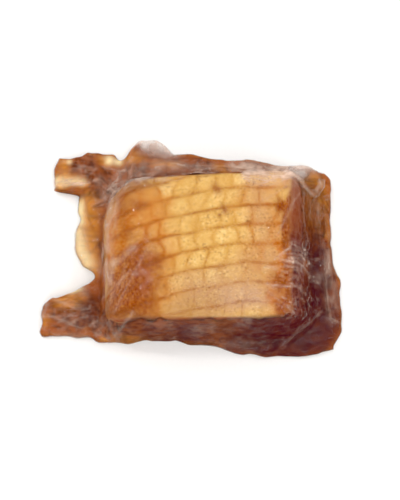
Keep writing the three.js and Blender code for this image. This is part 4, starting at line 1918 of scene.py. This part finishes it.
    def _facets(self, x: Array, y: Array) -> tuple[Array, Array, Array]:
        """Fold the film into flat facets between straight creases.

        Args:
            x, y: Places, mm.

        Returns:
            The rise in mm about its mean, and how near a sharp edge and a valley each place is.
        """
        rng = np.random.default_rng(self.seed)
        spots = flat_points(x, y)
        rise, edges, valleys = np.zeros((3, *x.shape))
        for number, spacing in enumerate(self.spacings):
            way = rng.uniform(0, math.pi)
            bend = 0.55 * lattice_noise(spots, 2.2 * spacing, self.seed + 20 + number)
            turn = (x * math.cos(way) + y * math.sin(way)) / spacing + rng.uniform() + bend
            wave = np.abs(2 * (turn - np.floor(turn + 0.5)))
            rise += self.steepness * spacing * (wave - 0.5)
            edges = np.maximum(edges, smooth_step(1 - 2 * self.edge / spacing, 1, wave))
            valleys = np.maximum(valleys, 1 - smooth_step(0, 6 * self.edge / spacing, wave))
        return rise, edges, valleys


@dataclass
class PouchSkin:
    """The grid that the film and the sauce share, wrinkled.

    Attributes:
        form: The pouch.
        across: Cells across in the five bands of the grid.
        deep: The same from front to back.
        fine_rows: How far in from a wall the close grid lines go, mm.
        fray: How far the rim's edge wanders in plan, mm, by waves of fray_size over fray_reach.
        rim_wave: How far the rim waves up and down, mm, by waves of rim_wave_size over rim_wave_reach.
    """

    form: PouchForm
    across: tuple[int, ...] = (40, 56, 96, 64, 36)
    deep: tuple[int, ...] = (26, 54, 66, 54, 32)
    fine_rows: float = 20.0
    fray: float = 1.3
    fray_size: float = 8.0
    fray_reach: float = 10.0
    rim_wave: float = 1.1
    rim_wave_size: float = 9.0
    rim_wave_reach: float = 9.0

    def __post_init__(self) -> None:
        """Work out the grid, its wrinkled points and their normals."""
        self.plan = replace(self.form, shoulder_rows=self.fine_rows).grid(self.across, self.deep)
        self.plan = self._frayed(self.plan)
        smooth = np.stack([self.plan.x, self.plan.y, self.form.top(self.plan)], axis=-1)
        rise, self.marks, self.valleys = FilmWrinkles(self.form).worked(self.plan, smooth)
        self.normals = grid_normals(smooth)
        self.top = smooth + self.normals * rise[..., None]
        spots = flat_points(self.plan.x, self.plan.y)
        wave = self.rim_wave * lattice_noise(spots, self.rim_wave_size, Seed.RIM_WAVE)
        wave = wave * (1 - smooth_step(0, self.rim_wave_reach, self.plan.from_rim))
        underside = np.maximum(self.form.underside(self.plan) + wave, 0)
        self.top[..., 2] = np.maximum(self.top[..., 2] + wave, underside + self.form.seam)
        self.bottom = np.stack([self.plan.x, self.plan.y, underside], axis=-1)
        border = np.ones(self.plan.x.shape, bool)
        border[1:-1, 1:-1] = False
        self.bottom[border] = self.top[border] - np.array([0, 0, self.form.seam])

    def _frayed(self, plan: Plan) -> Plan:
        """Make the rim uneven, the way shrunk film draws in.

        Args:
            plan: The grid.

        Returns:
            The grid with its points near the rim moved.
        """
        spots = flat_points(plan.x, plan.y)
        near = self.fray * (1 - smooth_step(0, self.fray_reach, plan.from_rim))
        out_x = near * layered_noise(spots, self.fray_size, Seed.FRAY_X, 2)
        out_y = near * layered_noise(spots, self.fray_size, Seed.FRAY_Y, 2)
        return Plan(plan.x + out_x, plan.y + out_y, plan.from_rim)

    def piece(self, name: str, inset: Array, floor: float, marks: Marks) -> Object:
        """Close the grid into a piece, set in from the film.

        Args:
            name: The piece's name.
            inset: How far in its upper sheet lies, mm, at each grid point.
            floor: How far up its lower sheet lies, mm.
            marks: Its marks at each grid point.

        Returns:
            The new piece.
        """
        middle = np.append(self.form.middle, 0)
        top = self.top - self.normals * inset[..., None] - middle
        bottom = self.bottom[::2, ::2] + np.array([0, 0, floor]) - middle
        points, faces = closed_box(top, [], bottom)
        sheets = {mark: np.append(values, values[::2, ::2]) for mark, values in marks.items()}
        return add_piece(name, points, faces, sheets)


@dataclass
class FilmPouch:
    """The clear film round everything.

    Attributes:
        skin: The grid that it shares with the sauce.
        finish: What it is made of.
    """

    skin: PouchSkin
    finish: ShrunkFilm = ShrunkFilm()

    def build(self) -> Object:
        """Build the film and dress it.

        Returns:
            The new piece.
        """
        inset = np.zeros(self.skin.plan.x.shape)
        piece = self.skin.piece("film_pouch", inset, 0.0, self.skin.marks)
        piece.data.materials.append(self.finish.material())
        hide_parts(POUCH_NODE)
        return piece


@dataclass
class SauceFill:
    """The sauce between the film and the pork, in the skirt and in the ears.

    Attributes:
        skin: The grid that it shares with the film.
        inset: How far it lies inside the film, mm.
        sunk: How much further below the film it lies over the rind, mm.
        floor_gap: How far it lies above the lower film, mm.
        left_end, right_end: The x at which the block's ends start and are full, mm.
        left_wall: The same for the left wall, where the sauce is thin.
        shallow, deep: The depths from and up to which it turns from thin and turns dark, mm.
        drift: How far its colours wander from their strokes, mm, over drift_size.
        finish: What it is made of.
        straw_and_highlight, amber, umber_and_shade, plum: Where it has that colour, from thin to deep; the
        pale strokes also paint highlights, and two of the dark brown strokes paint shade lines under edges.
        empty: Where the film holds no sauce.
    """

    skin: PouchSkin
    inset: float = 0.3
    sunk: float = 2.6
    floor_gap: float = 0.25
    left_end: Pair = (-36, -48)
    right_end: Pair = (50, 62)
    left_wall: Pair = (-44, -52)
    shallow: Pair = (1.5, 6)
    deep: Pair = (7, 15)
    drift: float = 3.0
    drift_size: float = 14.0
    finish: SetSauce = SetSauce()
    # Pale thin sauce; the dabs at the upper ear's back and the line along its slit are painted highlights
    straw_and_highlight: Strokes = (
        Stroke(((-72, 33), (-71, 22)), 3.4, 0.8), Stroke(((-73, 14), (-71, 3), (-66, -6)), 4.5, 0.75),
        Stroke(((-88, 48.5), (-70, 47)), 2.4, 0.85), Stroke(((-53, 62),), 3.2, 0.9),
        Stroke(((-47, 62),), 3, 0.8), Stroke(((-79, 60.5),), 2, 0.6),
        Stroke(((-76, -24), (-71, -22)), 2.8, 0.8),
    )
    amber: Strokes = (
        Stroke(((-66, 33), (-65, 20), (-65, 6), (-62, -8)), 7, 0.9), Stroke(((-22, 60), (-8, 59)), 3, 0.7),
        Stroke(((17, 57.5), (37, 56)), 2.6, 0.7), Stroke(((16, -51.5), (24, -52)), 3, 0.35),
        Stroke(((-81, -31), (-75, -31)), 6, 0.95), Stroke(((-71, -27), (-68, -27)), 3, 0.6),
        Stroke(((-93, -44),), 4, 0.6), Stroke(((-84, 58), (-82, 52)), 4.5, 0.75),
        Stroke(((-57, 62),), 3.5, 0.8), Stroke(((-88, 48), (-68, 46)), 3, 0.9),
        Stroke(((-38, 63), (-33, 66)), 5, 0.8), Stroke(((-55, -55.5), (-20, -56.5)), 1.8, 0.7),
        Stroke(((80, 50), (84, 36)), 6, 0.65), Stroke(((73, 46), (79, 42)), 4, 0.7),
        Stroke(((77, 38), (79, 22)), 5, 0.5), Stroke(((88, 34), (88, 14)), 2.5, 0.35),
    )
    # Dark sauce; the thin line under the upper ear's front edge and the one round the rind's front-left corner
    # are painted shade
    umber_and_shade: Strokes = (
        Stroke(((-63, 58), (-58, 50)), 5, 0.6), Stroke(((-56, 54),), 3.5, 0.7),
        Stroke(((-52, 41),), 3, 0.7), Stroke(((-36, 54),), 3.5, 0.8),
        Stroke(((-62, -31), (-62, -40)), 4.5, 0.7), Stroke(((-70, -39), (-66, -44)), 4, 0.6),
        Stroke(((-26, -52), (-34, -51.5)), 3, 0.6), Stroke(((85, 16), (84, -4)), 5, 0.25),
        Stroke(((-93, 39), (-58, 38)), 1.5, 0.85), Stroke(((7, 60), (15, 58.5)), 3, 0.5),
        Stroke(((-15, -57), (15, -58)), 3, 0.8), Stroke(((-55, -46), (-49, -51), (-38, -51)), 1.6, 0.9),
    )
    plum: Strokes = (
        Stroke(((78, -4), (80, -26), (74, -50), (50, -57)), 11, 1.0), Stroke(((83, -2), (86, -14)), 6, 0.7),
        Stroke(((60, -60), (80, -57), (88, -46)), 10, 1.0), Stroke(((90, -18), (92, -38)), 5, 0.5),
        Stroke(((10, -52), (24, -52)), 4, 0.5), Stroke(((-26, -53), (-12, -54)), 4, 0.5),
        Stroke(((-5, -53.5), (2, -54.5)), 4, 0.9), Stroke(((30, -55), (60, -54)), 5, 0.85),
        Stroke(((-5, 58), (5, 56)), 3.2, 0.35), Stroke(((24, -60), (56, -65), (84, -60)), 4.5, 0.9),
        Stroke(((-62, -30), (-65, -37), (-62, -43)), 4, 0.5),
    )
    empty: Strokes = (
        Stroke(((-28, 76), (-14, 72)), 6.5), Stroke(((68, 63), (80, 62)), 4.5),
        Stroke(((64, 55), (73, 54)), 4, 0.7),
    )

    def build(self) -> Object:
        """Build the sauce and dress it.

        Returns:
            The new piece.
        """
        plan, form = self.skin.plan, self.skin.form
        uneven = 0.35 * layered_noise(self.skin.top, 6, Seed.SAUCE_EDGE, 2)
        past = form.past_walls(plan.x, plan.y) + uneven
        at_left = smooth_step(*self.left_end, plan.x)
        on_rind = 1 - smooth_step(-1.6, -0.3, past - 1.3 * at_left)
        at_front = smooth_step(-1.6, -0.8, form.front_face.past(plan.x, plan.y))
        on_end = smooth_step(*self.right_end, plan.x) * (1 - smooth_step(-0.3, 0.45, past)) * (1 - at_front)
        bare = np.maximum(on_rind, on_end)
        seen_through = on_rind * (1 - at_left) * (1 - smooth_step(54, 60, plan.x))
        depth = form.skirt(plan) - form.underside(plan) - form.seam
        inset = self.inset + self.sunk * smooth_step(0.5, 0.9, bare)
        inset = np.minimum(inset, 0.1 + 0.4 * depth)
        marks = self._colours(past, depth, seen_through)
        piece = self.skin.piece("sauce_fill", inset, self.floor_gap, marks)
        piece.data.materials.append(self.finish.material())
        return piece

    def _colours(self, past: Array, depth: Array, seen_through: Array) -> Marks:
        """Mark how deep, dark and opaque the sauce is.

        Args:
            past: How far past the block's walls each point lies.
            depth: The sauce's depth, mm.
            seen_through: Where it thins out to nothing over the rind's edge, 0 to 1.

        Returns:
            The marks.
        """
        x, y = self.skin.plan.x, self.skin.plan.y
        spots = self.skin.top
        on_wall = 1 - smooth_step(0.6, 1.6, past)
        drift = layered_noise(spots, self.drift_size, Seed.SAUCE_DRIFT_X, 3)
        drift_x = x + (self.drift + self.drift * on_wall) * drift
        drift_y = y + self.drift * layered_noise(spots, self.drift_size, Seed.SAUCE_DRIFT_Y, 3)
        amber = painted(self.amber, drift_x, drift_y)
        thin = 1 - smooth_step(*self.shallow, depth + 1.5 * drift)
        deep = smooth_step(*self.deep, depth + 4 * drift)
        clear = 1 - painted(self.empty, x, y)
        plum = painted(self.plum, drift_x, drift_y)
        cover = smooth_step(0.0, 3.0, depth + 0.6 * drift + 2 * plum) * (1 - 0.12 * amber)
        # A painted shade line along the block's foot
        foot = np.exp(-(((past - 1.1) / 0.5) ** 2))
        mottle = layered_noise(spots, 5, Seed.SAUCE_MOTTLE, 3)
        flecks = smooth_step(0.3, 0.7, layered_noise(spots, 6, Seed.FLECKS, 3))
        at_left = smooth_step(*self.left_wall, x)
        umber_and_shade = painted(self.umber_and_shade, drift_x, drift_y) + 0.4 * deep + 0.8 * drift + 0.6 * mottle
        # Painted shade along the block's foot and in the film's valleys; the sauce is also darker on the
        # block's walls
        umber_and_shade = umber_and_shade + (0.5 * foot + 0.75 * on_wall) * (1 - 0.95 * at_left) + 0.8 * self.skin.valleys
        umber_and_shade = umber_and_shade + 0.12 * (1 - smooth_step(0, 2.5, self.skin.plan.from_rim))
        # Less amber on the walls and in the valleys, as painted shade
        unfolded = (1 - 0.6 * on_wall) * (1 - 0.7 * self.skin.valleys)
        covered = np.maximum(cover, 0.88 * on_wall) * clear**2
        return {
            Mark.AMBER: np.maximum(amber, 0.45 * thin * np.clip(0.4 + 1.6 * drift, 0, 1)) * unfolded,
            # Pale thin sauce, with painted highlights
            Mark.STRAW_AND_HIGHLIGHT: painted(self.straw_and_highlight, x + 1.5 * drift, y + 1.5 * drift) * (1 - on_wall),
            Mark.UMBER_AND_SHADE: umber_and_shade,
            Mark.PLUM: plum,
            Mark.FLECK: 0.5 * flecks * (1 - plum),
            Mark.COVER: covered * (1 - smooth_step(0.02, 0.25, seen_through)),
        }


# The studio


@dataclass(frozen=True)
class Lamp:
    """A square lamp that looks at the pack.

    Attributes:
        name: The lamp's name.
        place: Where it hangs, metres.
        size: Its side, metres.
        power: Its power, watts.
    """

    name: str
    place: tuple[float, float, float]
    size: float
    power: float

    def build(self, height: float) -> None:
        """Hang the lamp.

        Args:
            height: How high above the frame's origin it looks, metres.
        """
        lamp = bpy.data.lights.new(self.name, "AREA")
        lamp.size = self.size
        lamp.energy = self.power
        holder = bpy.data.objects.new(self.name, lamp)
        holder.location = self.place
        x, y, z = self.place
        holder.rotation_euler = (math.atan2(math.hypot(x, y), z - height), 0, math.atan2(y, x) + math.pi / 2)
        bpy.context.scene.collection.objects.link(holder)


@dataclass
class Studio:
    """White paper, soft light and the photo's camera.

    Attributes:
        form: The pouch, for its plan's origin.
        aim: The point on the camera's axis, mm on the plan's origin.
        elevation: The camera's height angle, degrees.
        distance: From the camera to the aim, mm.
        lens: Focal length, mm on a sensor that is sensor mm wide.
        ambient: How strongly the white surroundings shine.
        lit_height: How high the lamps look, metres.
        floor_half: Half the paper's side, metres.
        floor_height: The paper's height, metres, just below the pack.
        paper: What the floor is made of.
        lamps: Two softboxes, and small lamps for the film's sparks.
    """

    form: PouchForm
    aim: tuple[float, float, float] = (6.3, 0.0, 20.0)
    elevation: float = 78.0
    distance: float = 880.0
    lens: float = 100.0
    sensor: float = 36.0
    ambient: float = 0.6
    lit_height: float = 0.03
    floor_half: float = 3.0
    floor_height: float = -0.0004
    paper: PaleFloor = PaleFloor()
    lamps: tuple[Lamp, ...] = (
        Lamp("back_softbox", (-0.4, 0.65, 1.2), 1.2, 5.6),
        Lamp("front_softbox", (0.2, -0.6, 1.2), 1.2, 9.2),
        Lamp("spark_left", (-0.5, 0.2, 0.9), 0.05, 1.0),
        Lamp("spark_right", (0.45, 0.15, 0.9), 0.05, 1.0),
        Lamp("spark_front", (0.1, -0.35, 1.0), 0.04, 0.7),
    )

    def build(self) -> None:
        """Build the floor, the lights, the surroundings and the camera."""
        self._floor()
        for lamp in self.lamps:
            lamp.build(self.lit_height)
        world = bpy.data.worlds.new("white_surround")
        world.use_nodes = True
        background = world.node_tree.nodes["Background"].inputs
        background["Color"].default_value = linear("#ffffff")
        background["Strength"].default_value = self.ambient
        bpy.context.scene.world = world
        bpy.context.scene.view_settings.view_transform = "Standard"
        self._camera()

    def _floor(self) -> None:
        """Lay the paper that the pack lies on."""
        side, height = self.floor_half, self.floor_height
        mesh = bpy.data.meshes.new("paper_floor")
        corners = [(-side, -side, height), (side, -side, height), (side, side, height), (-side, side, height)]
        mesh.from_pydata(corners, [], [(0, 1, 2, 3)])
        floor = bpy.data.objects.new("paper_floor", mesh)
        floor.data.materials.append(self.paper.material())
        bpy.context.scene.collection.objects.link(floor)

    def _camera(self) -> None:
        """Set up the photo's camera."""
        camera = bpy.data.cameras.new("photo_camera")
        camera.lens = self.lens
        camera.sensor_width = self.sensor
        holder = bpy.data.objects.new("photo_camera", camera)
        tilt = math.radians(self.elevation)
        aim = np.array(self.aim) - np.append(self.form.middle, 0)
        forward = np.array([0, math.cos(tilt), -math.sin(tilt)])
        holder.location = ((aim - self.distance * forward) * MM).tolist()
        holder.rotation_euler = (math.pi / 2 - tilt, 0, 0)
        bpy.context.scene.collection.objects.link(holder)
        bpy.context.scene.camera = holder


def main() -> None:
    """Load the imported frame, build the pack over it and note its size."""
    logging.basicConfig(level=logging.INFO, format="%(name)s: %(message)s")
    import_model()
    form = PouchForm()
    skin = PouchSkin(form)
    for maker in (PorkBlock(form), SauceFill(skin), FilmPouch(skin)):
        piece = maker.build()
        log.info("%s: %d points, %d faces", piece.name, len(piece.data.vertices), len(piece.data.polygons))
    Studio(form).build()


if __name__ == "__main__":
    main()
